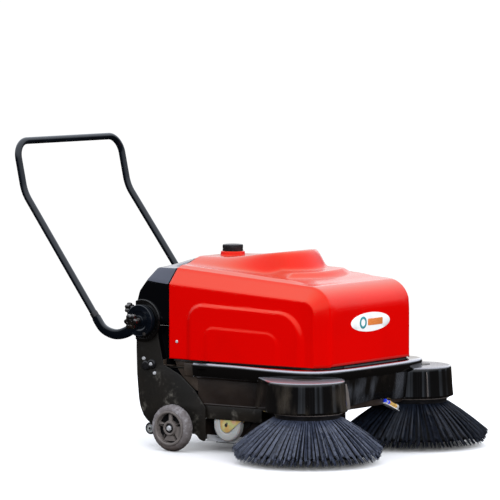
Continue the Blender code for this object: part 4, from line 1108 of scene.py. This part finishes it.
def make_shrouds():
    """Cups over the side brushes: a dished lid with a rolled rim and a drafted skirt."""
    section = [(0.120, 0.2785), (0.080, 0.2783), (0.050, 0.2777), (0.028, 0.2768), (0.0150, 0.2758),
               (0.0110, 0.2750), (0.0085, 0.2735), (0.0070, 0.2712), (0.0062, 0.2680), (0.0055, 0.2600),
               (0.0030, 0.2300), (0.0005, 0.1960), (-0.0015, 0.1780), (-0.0018, 0.1745), (-0.0008, 0.1722),
               (0.0014, 0.1720), (0.0024, 0.1745), (0.0050, 0.2100), (0.0120, 0.2600), (0.0240, 0.2680),
               (0.120, 0.2700)]
    for side, word in SIDES:
        bm = bmesh.new()
        rings = []
        for inset, z in section:
            rings.append([Vector((p.x, p.y, z)) for p in cup_plan(side, inset)])
        strip_of_rings(bm, rings)
        piece("brush_cup_" + word, from_bmesh("cup", bm), "cup", "chassis", ("brush_shroud_" + word,), 30)
        out_x, out_y = 0.81, -0.585 * side      # on the near side it points across the rest view
        place = Matrix.Translation(at(0.548, side * 0.321, 0)) \
            @ Matrix(((out_x, 0, out_y, 0), (out_y, 0, -out_x, 0), (0, 1, 0, 0), (0, 0, 0, 1)))
        # A thin flange in pale rim plastic; its pale colour also paints the highlight along the cup's edge.
        fin = flat_shape("fin", [[(0.126, 0.262), (0.1355, 0.262), (0.1420, 0.235), (0.1485, 0.182),
                                  (0.1460, 0.178), (0.1300, 0.178)]], 0.002, place, 0.0006, 2)
        piece("cup_fin_" + word, fin, "rim", "chassis", (), 35)


def make_underbody():
    """Brush housing sides, slotted strips with their bolts, and rubber skirts."""
    for side, word in SIDES:
        outline = [(0.044, 0.036), (0.325, 0.034), (0.340, 0.060), (0.340, 0.270), (0.062, 0.270),
                   (0.062, 0.105), (0.044, 0.105)]
        panel = flat_shape("chamber_side", [fillet_outline(outline, 0.006)], 0.003, upright(side * 0.2145),
                           0.0008, 1)
        piece("chamber_cheek_" + word, panel, "box", "chassis", (), 35)
        y = side * 0.2180
        slot = fillet_outline([(0.135, 0.0375), (0.165, 0.0375), (0.165, 0.0445), (0.135, 0.0445)], 0.0034, 4)
        rail = fillet_outline([(0.066, 0.0320), (0.300, 0.0320), (0.300, 0.0520), (0.066, 0.0520)], 0.003, 3)
        strip = flat_shape("strip", [rail, slot], 0.0025, upright(y), 0.0005, 1)
        lip = side_box("strip_lip", side, (0.066, 0.300), (0.2168, 0.2300), (0.0315, 0.0335), 0.0006)
        piece("slotted_strip_" + word, join_meshes("strip", [strip, lip]), "pale", "chassis",
              ("skirt_strip_" + word,), 35)
        for i, ahead in enumerate((0.150, 0.262)):
            hex_bolt(f"strip_bolt_{i}_{word}", at(ahead, side * 0.2196, 0.0410), side, 0.0045, 0.0040,
                     "zinc", "chassis")
        brush_skirt = side_box("brush_skirt", side, (0.102, 0.330), (0.2155, 0.2175), (0.027, 0.040), 0.0006)
        piece("rubber_skirt_" + word, brush_skirt, "rubber", "chassis", (), 35)


def make_casters():
    axis, r, z, y0, half = 0.179, 0.055, 0.0945, 0.249, 0.013
    for side, word in SIDES:
        profile = softened([(0.0063, half - 0.0008), (0.016, half - 0.0008), (0.018, half - 0.0018),
                            (0.030, half - 0.0018), (0.033, half - 0.0003), (r - 0.005, half - 0.0003),
                            (r, half - 0.0035), (r, 0.0035 - half), (r - 0.005, 0.0003 - half),
                            (0.033, 0.0003 - half), (0.030, 0.0018 - half), (0.018, 0.0018 - half),
                            (0.016, 0.0008 - half), (0.0063, 0.0008 - half)], 0.0012, 3, ring=True)
        wheel = lathe("nylon", at(axis, side * y0, z), "Y", profile, 72, ring=True)
        piece("nylon_roller_" + word, wheel, "nylon", "caster_wheel_" + word, ("caster_wheel_" + word,), 35)
        tip = 0.024
        cheek = [(-tip, 0.060), (-tip, 0.0)] + circle(tip, 16, (0, -0.001), pi * 1.05, pi * 0.70)
        cheek += [(0.073, 0.026), (0.073, 0.060)]
        outline = [(axis + u, z + v) for u, v in cheek]
        hole = circle(0.0042, 20, (axis + 0.003, z + 0.006))
        parts = []
        for out in (half + 0.0013, -half - 0.0013):
            parts.append(flat_shape("cheek", [outline, hole], 0.002, upright(side * (y0 + out)), 0.0004, 1))
        parts.append(side_box("crown", side, (axis - 0.024, axis + 0.073), (y0 - 0.0153, y0 + 0.0153),
                              (0.1515, 0.1574), 0.0008))
        piece("fork_" + word, join_meshes("fork", parts), "yellow_zinc", "chassis",
              ("caster_bracket_" + word,), 35)
        pin = lathe("pin", at(axis, 0, z), "Y", softened([(0, 0.2660), (0.0052, 0.2660), (0.0060, 0.2650),
                                                          (0.0060, 0.2330), (0, 0.2330)], 0.0006), 24,
                                                          flip=side < 0)
        piece("fork_pin_" + word, pin, "steel", "chassis", (), 35)


# ---------------------------------------------------------------- rear wheels

def window(inner, outer, half_spoke, start, end, count=10):
    """A window between two spokes of even width."""
    def arc(radius, number):
        lean = asin(half_spoke / radius)
        return circle(radius, number, (0, 0), start + lean, end - start - 2 * lean)
    return fillet_outline(arc(outer, count) + arc(inner, 5)[::-1], 0.003, 3)


def make_rear_wheels():
    for side, word in SIDES:
        low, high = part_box("rear_tyre_" + word)
        centre = middle(low, high)
        half, r = (high[1] - low[1]) / 2, (high[2] - low[2]) / 2
        ri = 0.0600
        tread = [(ri, half - 0.004), (ri + 0.0015, half - 0.0015), (r - 0.020, half),
                 (r - 0.011, half - 0.0008), (r - 0.0045, half - 0.005), (r - 0.0010, half - 0.011),
                 (r, half - 0.017), (r, 0.017 - half), (r - 0.0010, 0.011 - half),
                 (r - 0.0045, 0.005 - half), (r - 0.011, 0.0008 - half), (r - 0.020, -half),
                 (ri + 0.0015, 0.0015 - half), (ri, 0.004 - half)]
        rng = random.Random(7)
        waves = [(rng.randint(5, 40), rng.uniform(0, 2 * pi), rng.uniform(0.1, 0.5)) for _ in range(9)]

        def worn(angle, radius, height):
            wear = sum(w * sin(n * angle + p + height * 60) for n, p, w in waves)
            return -0.0015 * abs(wear) if radius > r - 0.012 else 0.0

        tyre = lathe("tyre", centre, "Y", softened(tread, 0.002, 3, ring=True), 160, ring=True, wave=worn)
        piece("tyre_" + word, tyre, "tyre", "rear_wheel_" + word, ("rear_tyre_" + word,), 50)
        make_rim(side, word, centre, half)


def make_rim(side, word, centre, half):
    face = side * (abs(centre.y) + half)
    mid = face - side * 0.0125
    web_centre = Vector((centre.x, mid, centre.z))
    turn = Matrix.Translation(web_centre) @ Matrix.Rotation(pi / 2, 4, 'X')
    turns = [radians(18 + 72 * i) for i in range(6)]
    windows = [window(0.0262, 0.0505, 0.0062, start, end) for start, end in zip(turns, turns[1:])]
    web = flat_shape("web", [circle(0.052, 60), circle(0.0083, 24)] + windows, 0.011, turn, 0.0018, 3)
    flange = lathe("flange", web_centre, "Y",
                   softened([(0.0510, 0.0145), (0.0545, 0.0165), (0.0598, 0.0155), (0.0598, -0.0270),
                             (0.0510, -0.0270)],
                            0.0012, 3, ring=True), 72, ring=True, flip=side < 0)
    hub = lathe("hub", web_centre, "Y",
                softened([(0.0083, 0.0085), (0.0165, 0.0085), (0.0175, 0.0125), (0.0235, 0.0125),
                          (0.0262, 0.0060), (0.0262, -0.0080), (0.0150, -0.0115), (0.0083, -0.0115)],
                          0.0012, 3, ring=True), 48, ring=True, flip=side < 0)
    back = lathe("back", web_centre, "Y",
                 softened([(0.0170, -0.0075), (0.0520, -0.0075), (0.0520, -0.0105), (0.0170, -0.0105)],
                          0.0008, 3, ring=True), 60, ring=True, flip=side < 0)
    piece("rim_back_" + word, back, "shade", "rear_wheel_" + word, (), 35)
    piece("rim_" + word, join_meshes("rim", [web, flange, hub]), "rim", "rear_wheel_" + word,
          ("rear_rim_" + word,), 35)
    low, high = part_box("axle_bolt_" + word)
    shaft_in = min(abs(low[1]), abs(high[1]))
    boss_end = abs(mid) - 0.0122
    shaft = softened([(0, abs(mid) + 0.0095), (0.0079, abs(mid) + 0.0095), (0.0079, boss_end),
                      (0.0145, boss_end), (0.0145, shaft_in), (0, shaft_in)], 0.0008)
    axle = lathe("axle", Vector((centre.x, 0, centre.z)), "Y", shaft, 36, flip=side < 0)
    piece("axle_" + word, axle, "zinc", "chassis", ("axle_bolt_" + word,), 35)
    washer = lathe("washer", Vector((centre.x, 0, centre.z)), "Y",
                   softened([(0, abs(mid) + 0.0100), (0.0158, abs(mid) + 0.0100), (0.0158, abs(mid) + 0.0090),
                             (0, abs(mid) + 0.0090)], 0.0004), 36, flip=side < 0)
    piece("axle_washer_" + word, washer, "knob", "chassis", (), 35)
    hex_bolt("axle_nut_" + word, Vector((centre.x, mid + side * 0.0100, centre.z)), side, 0.0085, 0.0060,
             "zinc", "chassis", 1.1)


# ---------------------------------------------------------------- brushes

def bristle_tube(bm, points, radius, sides=3):
    """A thin tapering bristle along a few points."""
    rings = []
    for i, p in enumerate(points):
        run = (points[min(i + 1, len(points) - 1)] - points[max(i - 1, 0)]).normalized()
        side = run.orthogonal().normalized()
        up = run.cross(side)
        r = radius * (1.0 - 0.25 * i / (len(points) - 1))
        rings.append([bm.verts.new(p + (side * cos(2 * pi * k / sides) + up * sin(2 * pi * k / sides)) * r)
                      for k in range(sides)])
    for a, b in zip(rings, rings[1:]):
        for i in range(sides):
            j = (i + 1) % sides
            bm.faces.new((a[i], a[j], b[j], b[i]))
    bm.faces.new(rings[-1])


def make_side_brushes():
    for side, word in SIDES:
        low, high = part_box("brush_plate_" + word)
        centre = Vector(((low[0] + high[0]) / 2, (low[1] + high[1]) / 2, 0))
        r = (high[0] - low[0]) / 2
        holder = softened([(0, 0.192), (0.0078, 0.192), (0.0078, 0.176), (0.028, 0.1745), (0.034, 0.1710),
                           (r - 0.012, 0.1705), (r - 0.004, 0.1700), (r - 0.001, 0.1685), (r - 0.001, 0.1650),
                           (r - 0.008, 0.1630), (r - 0.009, 0.1500), (0, 0.1500)], 0.0012)
        band = softened([(r - 0.002, 0.1690), (r, 0.1685), (r, 0.1660), (r - 0.002, 0.1655)], 0.0004, 2,
                        ring=True)
        piece("brush_band_" + word, lathe("band", centre, "Z", band, 96, ring=True), "rim",
              "side_brush_" + word, (), 35)
        piece("brush_holder_" + word, lathe("holder", centre, "Z", holder, 96), "knob", "side_brush_" + word,
              ("brush_plate_" + word,), 35)
        rng = random.Random(31 if side < 0 else 47)
        bm = bmesh.new()
        rows = ((54, 0.0, 0.1135, 0.2475, 0.0490, 20), (54, 0.5, 0.1085, 0.2445, 0.0370, 20),
                (54, 0.0, 0.1010, 0.2410, 0.0250, 18), (50, 0.5, 0.0900, 0.2350, 0.0170, 12),
                (44, 0.0, 0.0780, 0.2100, 0.0130, 8))
        for tufts, shift, root, reach, tip_z, count in rows:
            for t in range(tufts):
                a = 2 * pi * (t + shift + rng.uniform(-0.10, 0.10)) / tufts
                lean = rng.gauss(0, 0.004)
                for _ in range(count):
                    spread = rng.gauss(0, 0.0010)
                    depth = rng.gauss(0, 0.0011)
                    fan = a + lean + spread / root * 0.7 + rng.gauss(0, 0.0032)
                    start = Vector((cos(a + spread / root), sin(a + spread / root), 0)) * (root + depth)
                    start.z = 0.1505
                    end_r = reach + rng.gauss(0, 0.0026)
                    tip = Vector((cos(fan), sin(fan), 0)) * min(end_r, 0.2510)
                    tip.z = tip_z + rng.gauss(0, 0.0022) + depth * 1.2
                    points = []
                    for k in range(4):
                        u = k / 3
                        p = start.lerp(tip, u)
                        p.z += 0.004 * sin(pi * u)
                        points.append(centre + p)
                    bristle_tube(bm, points, rng.uniform(0.00075, 0.00105))
        piece("bristles_" + word, from_bmesh("bristles", bm), "bristle" if side < 0 else "shaded",
              "side_brush_" + word, ("brush_bristles_" + word,), 60)
        core = softened([(0.066, 0.1495), (0.101, 0.1495), (0.160, 0.0985), (0.222, 0.0400), (0.215, 0.030),
                         (0.150, 0.070), (0.066, 0.130)], 0.004, 3, ring=True)
        piece("bristle_shade_" + word, lathe("shade", centre, "Z", core, 64, ring=True), "shade",
              "side_brush_" + word, (), 60)


def make_roller():
    """The main brush: rows of bristles in a gentle spiral on a steel core."""
    low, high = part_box("roller_bristles")
    centre = Vector(((low[0] + high[0]) / 2, 0, (low[2] + high[2]) / 2))
    r, half = (high[2] - low[2]) / 2, (high[1] - low[1]) / 2
    rng = random.Random(5)
    bm = bmesh.new()
    for row in range(16):
        for k in range(26):
            y = mix(-half + 0.004, half - 0.004, k / 25)
            a = 2 * pi * row / 16 + 0.9 * abs(y) / half
            for _ in range(5):
                b = a + rng.gauss(0, 0.02)
                z = y + rng.gauss(0, 0.002)
                root = centre + Vector((cos(b) * 0.046, z, sin(b) * 0.046))
                tip_a = b + rng.gauss(0, 0.03)
                tip = centre + Vector((cos(tip_a) * (r - 0.001), z + rng.gauss(0, 0.003),
                                       sin(tip_a) * (r - 0.001)))
                bristle_tube(bm, [root, root.lerp(tip, 0.5), tip], 0.0011)
    mesh = from_bmesh("roller", bm)
    core = lathe("sleeve", centre, "Y", softened([(0.0454, half), (0.072, half - 0.004),
                                                  (0.072, 0.004 - half), (0.0454, -half)], 0.002, 3,
                                                  ring=True), 48, ring=True)
    piece("roller_tufts", join_meshes("roller", [mesh, core]), "bristle", "roller", ("roller_bristles",), 60)


# ---------------------------------------------------------------- nozzle and the rest

def make_nozzle():
    """A brass jet in blue push-fit rings on a zinc angle, aimed to the left and down."""
    start, end = at(0.606, 0.060, 0.179), at(0.606, 0.150, 0.143)
    along = (end - start).normalized()
    turn = Matrix.Translation(start) @ along.to_track_quat('Z', 'Y').to_matrix().to_4x4()

    def part(name, profile, finish, replaces=(), steps=28):
        mesh = lathe(name, Vector((0, 0, 0)), "Z", softened(profile, 0.0005), steps)
        mesh.transform(turn)
        piece(name, mesh, finish, "chassis", replaces, 35)

    part("nozzle_ring_a", [(0, 0.000), (0.0068, 0.000), (0.0068, 0.007), (0, 0.007)], "blue")
    part("nozzle_neck", [(0, 0.007), (0.0054, 0.007), (0.0054, 0.020), (0, 0.020)], "zinc")
    part("nozzle_ring_b", [(0, 0.020), (0.0070, 0.020), (0.0070, 0.028), (0, 0.028)], "blue")
    part("nozzle_body", [(0, 0.028), (0.0082, 0.028), (0.0082, 0.036), (0.0072, 0.037), (0.0072, 0.066),
                         (0.0080, 0.067), (0.0080, 0.072), (0, 0.072)], "brass", ("spray_nozzle",))
    part("nozzle_tip", [(0, 0.072), (0.0092, 0.072), (0.0092, 0.080), (0.0060, 0.086), (0.0030, 0.090),
                        (0, 0.090)],
         "zinc")
    skew = Matrix.Translation(at(0.601, 0.096, 0.1535)) @ Matrix.Rotation(radians(-21.8), 4, 'X')
    ledge = box_mesh("ledge", (-0.011, -0.045, -0.0012), (0.015, 0.043, 0.0012), 0.0006)
    ledge.transform(skew)
    post = box_mesh("post", at(0.5885, 0.058, 0.168), at(0.5910, 0.098, 0.2838), 0.0006)
    piece("nozzle_angle", join_meshes("angle", [ledge, post]), "pale", "chassis", ("nozzle_bracket",), 35)


def make_hopper_wheels():
    """Small wheels under the hopper's rear edge: a rubber tread on a pale hub."""
    for _, word in SIDES:
        low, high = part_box("hopper_wheel_" + word)
        centre = middle(low, high)
        r, half = (high[2] - low[2]) / 2, (high[1] - low[1]) / 2
        tread = softened([(0.0145, half - 0.001), (r - 0.002, half - 0.0004), (r, half - 0.003),
                          (r, 0.003 - half), (r - 0.002, 0.0004 - half), (0.0145, 0.001 - half)], 0.0012, 3,
                          ring=True)
        hub = softened([(0.0034, half + 0.0002), (0.0065, half + 0.0002), (0.0080, half - 0.002),
                        (0.0130, half - 0.002), (0.0144, half - 0.0005), (0.0144, 0.0005 - half),
                        (0.0130, 0.002 - half), (0.0080, 0.002 - half), (0.0065, -half - 0.0002),
                        (0.0034, -half - 0.0002)], 0.0008, 3, ring=True)
        body = "hopper_wheel_" + word
        piece("hopper_tread_" + word, lathe("tread", centre, "Y", tread, 56, ring=True), "rubber", body,
              (body,), 40)
        piece("hopper_hub_" + word, lathe("hub", centre, "Y", hub, 48, ring=True), "nylon", body, (), 40)


def make_frame_finishes():
    """Materials on the CAD nodes; the ones that a piece replaces don't show theirs."""
    looks = {"filter_panel": "rubber", "battery": "knob", "spray_pump": "knob", "power_switch": "knob",
             "drive_belt": "rubber", "dust_hopper": "cover", "hood_hinge_rod": "knob", "water_tank": "box",
             "main_deck": "plate", "brush_chamber": "box"}
    for name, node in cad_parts.items():
        finish = FINISH[looks.get(name, "steel")].material
        node.data.materials.clear()
        node.data.materials.append(finish)


def make_screws():
    for side, word in SIDES:
        screw_head("hood_fixing_" + word, at(-0.014, side * HALF, 0.370), side, 0.0054, 0.0035, "zinc",
                   "hood", ("hood_screw_" + word,))


# ---------------------------------------------------------------- stage, light, camera

def make_stage():
    """A pale floor that fades into the background."""
    bm = bmesh.new()
    rings = [[Vector((r * cos(a), r * sin(a), 0)) for a in (2 * pi * i / 96 for i in range(96))]
             for r in (0.05, 1.0, 2.4)]
    strip_of_rings(bm, rings, capped=False)
    bm.faces.new(bm.verts[:96])
    mesh = from_bmesh("floor", bm)
    look = Finish("floor_pale", (0.93, 0.93, 0.93), 0.6)
    look.tint((0.90, 0.90, 0.90), look.ramp(look.noise(2.0, 3), 0.4, 0.7))
    mesh.materials.append(look.material)
    floor = bpy.data.objects.new("floor", mesh)
    floor.location.z = -0.0005
    floor.visible_glossy = False
    floor.visible_diffuse = False
    bpy.context.scene.collection.objects.link(floor)


def add_area(name, place, target, size, power, colour=(1, 1, 1), mirrored=True):
    """A soft light; one that isn't mirrored lights surfaces without showing in their gloss."""
    data = bpy.data.lights.new(name, 'AREA')
    data.shape = 'RECTANGLE'
    data.size, data.size_y = size
    data.energy = power
    data.color = colour
    light = bpy.data.objects.new(name, data)
    light.location = place
    light.rotation_euler = (Vector(target) - Vector(place)).to_track_quat('-Z', 'Y').to_euler()
    light.visible_glossy = mirrored
    light.visible_camera = False
    bpy.context.scene.collection.objects.link(light)


def make_world():
    """White to the eye; for light and reflections pale overhead, dark and streaked round the horizon."""
    world = bpy.data.worlds.new("studio")
    bpy.context.scene.world = world
    world.use_nodes = True
    nodes, links = world.node_tree.nodes, world.node_tree.links
    nodes.clear()

    def rescaled(value, *limits):
        node = nodes.new("ShaderNodeMapRange")
        for socket, limit in zip(("From Min", "From Max", "To Min", "To Max"), limits):
            node.inputs[socket].default_value = limit
        links.new(value, node.inputs["Value"])
        return node.outputs["Result"]

    def by_height(stops):
        node = nodes.new("ShaderNodeValToRGB")
        ends = node.color_ramp.elements
        ends[0].position, ends[1].position = stops[0][0], stops[-1][0]
        for place, colour in stops[1:-1]:
            ends.new(place)
        for element, (place, colour) in zip(ends, stops):
            element.color = (*colour, 1)
        links.new(rise, node.inputs[0])
        return node.outputs["Color"]

    def blended(kind, a, b):
        node = nodes.new("ShaderNodeMix")
        node.data_type, node.blend_type = 'RGBA', kind
        node.inputs[0].default_value = 1.0
        links.new(a, node.inputs[6])
        links.new(b, node.inputs[7])
        return node.outputs[2]

    def light(strength):
        node = nodes.new("ShaderNodeBackground")
        node.inputs["Strength"].default_value = strength
        return node

    direction = nodes.new("ShaderNodeTexCoord").outputs["Generated"]
    split = nodes.new("ShaderNodeSeparateXYZ")
    links.new(direction, split.inputs[0])
    rise = rescaled(split.outputs["Z"], -1.0, 1.0, 0.0, 1.0)
    gradient = by_height(((0.0, (0.010, 0.008, 0.007)), (0.47, (0.020, 0.016, 0.013)),
                          (0.50, (0.030, 0.028, 0.027)), (0.55, (0.030, 0.033, 0.040)),
                          (0.60, (0.62, 0.65, 0.72)), (0.72, (1.25, 1.30, 1.40)), (1.0, (1.70, 1.76, 1.90))))
    band = by_height(((0.485, (0, 0, 0)), (0.545, (0.75, 0.85, 1.0)), (0.64, (0, 0, 0))))
    stretch = nodes.new("ShaderNodeMapping")
    stretch.inputs["Scale"].default_value = (1.0, 1.0, 0.20)
    links.new(direction, stretch.inputs["Vector"])
    streaks = nodes.new("ShaderNodeTexNoise")
    streaks.inputs["Scale"].default_value = 2.7
    streaks.inputs["Detail"].default_value = 3.0
    links.new(stretch.outputs["Vector"], streaks.inputs["Vector"])
    contrast = rescaled(streaks.outputs["Fac"], 0.53, 0.64, 0.0, 0.62)
    sky = light(1.0)
    links.new(blended('ADD', gradient, blended('MULTIPLY', band, contrast)), sky.inputs["Color"])
    plain = light(1.05)
    plain.inputs["Color"].default_value = (1, 1, 1, 1)
    blend = nodes.new("ShaderNodeMixShader")
    links.new(nodes.new("ShaderNodeLightPath").outputs["Is Camera Ray"], blend.inputs[0])
    links.new(sky.outputs[0], blend.inputs[1])
    links.new(plain.outputs[0], blend.inputs[2])
    links.new(blend.outputs[0], nodes.new("ShaderNodeOutputWorld").inputs["Surface"])


def make_camera():
    """The viewpoint: 36 degrees round from the right side, 4 degrees above the horizon."""
    azimuth, pitch, distance = radians(35.8326), radians(3.9816), 14.133
    target = at(0.088, 0.0, 0.6705)
    back = Vector((sin(azimuth) * cos(pitch), -cos(azimuth) * cos(pitch), sin(pitch)))
    data = bpy.data.cameras.new("camera")
    data.sensor_width = 36.0
    data.lens = 295.9056
    data.clip_start, data.clip_end = 0.1, 100.0
    camera = bpy.data.objects.new("camera", data)
    camera.location = target + back * distance
    camera.rotation_euler = (-back).to_track_quat('-Z', 'Y').to_euler()
    bpy.context.scene.collection.objects.link(camera)
    bpy.context.scene.camera = camera


FINISH = {}
for group in (hood_and_shell_finishes, chassis_finishes, handle_finishes, wheel_finishes, metal_finishes,
              brush_finishes, small_finishes):
    FINISH.update(group())
make_frame_finishes()
make_hood()
make_cap()
make_screws()
make_rear_cover()
make_handle()
make_side_plates()
make_side_boxes()
make_tray()
make_shrouds()
make_underbody()
make_casters()
make_rear_wheels()
make_side_brushes()
make_roller()
make_nozzle()
make_hopper_wheels()
make_stage()
make_world()
add_area("backdrop", (-2.6, 3.6, 1.15), (0.0, 0.0, 0.75), (4.6, 1.9), 21, (1.0, 0.97, 0.95))
for name, x, y, power in (("key", 5.3, -4.3, 330), ("rear_fill", -4.2, -5.0, 120),
                          ("front_fill", 5.0, 4.4, 130)):
    add_area(name, (x, y, 1.7), (0.1, 0.0, 0.35), (2.5, 2.5), power, mirrored=False)
make_camera()
bpy.context.scene.view_settings.view_transform = 'Standard'
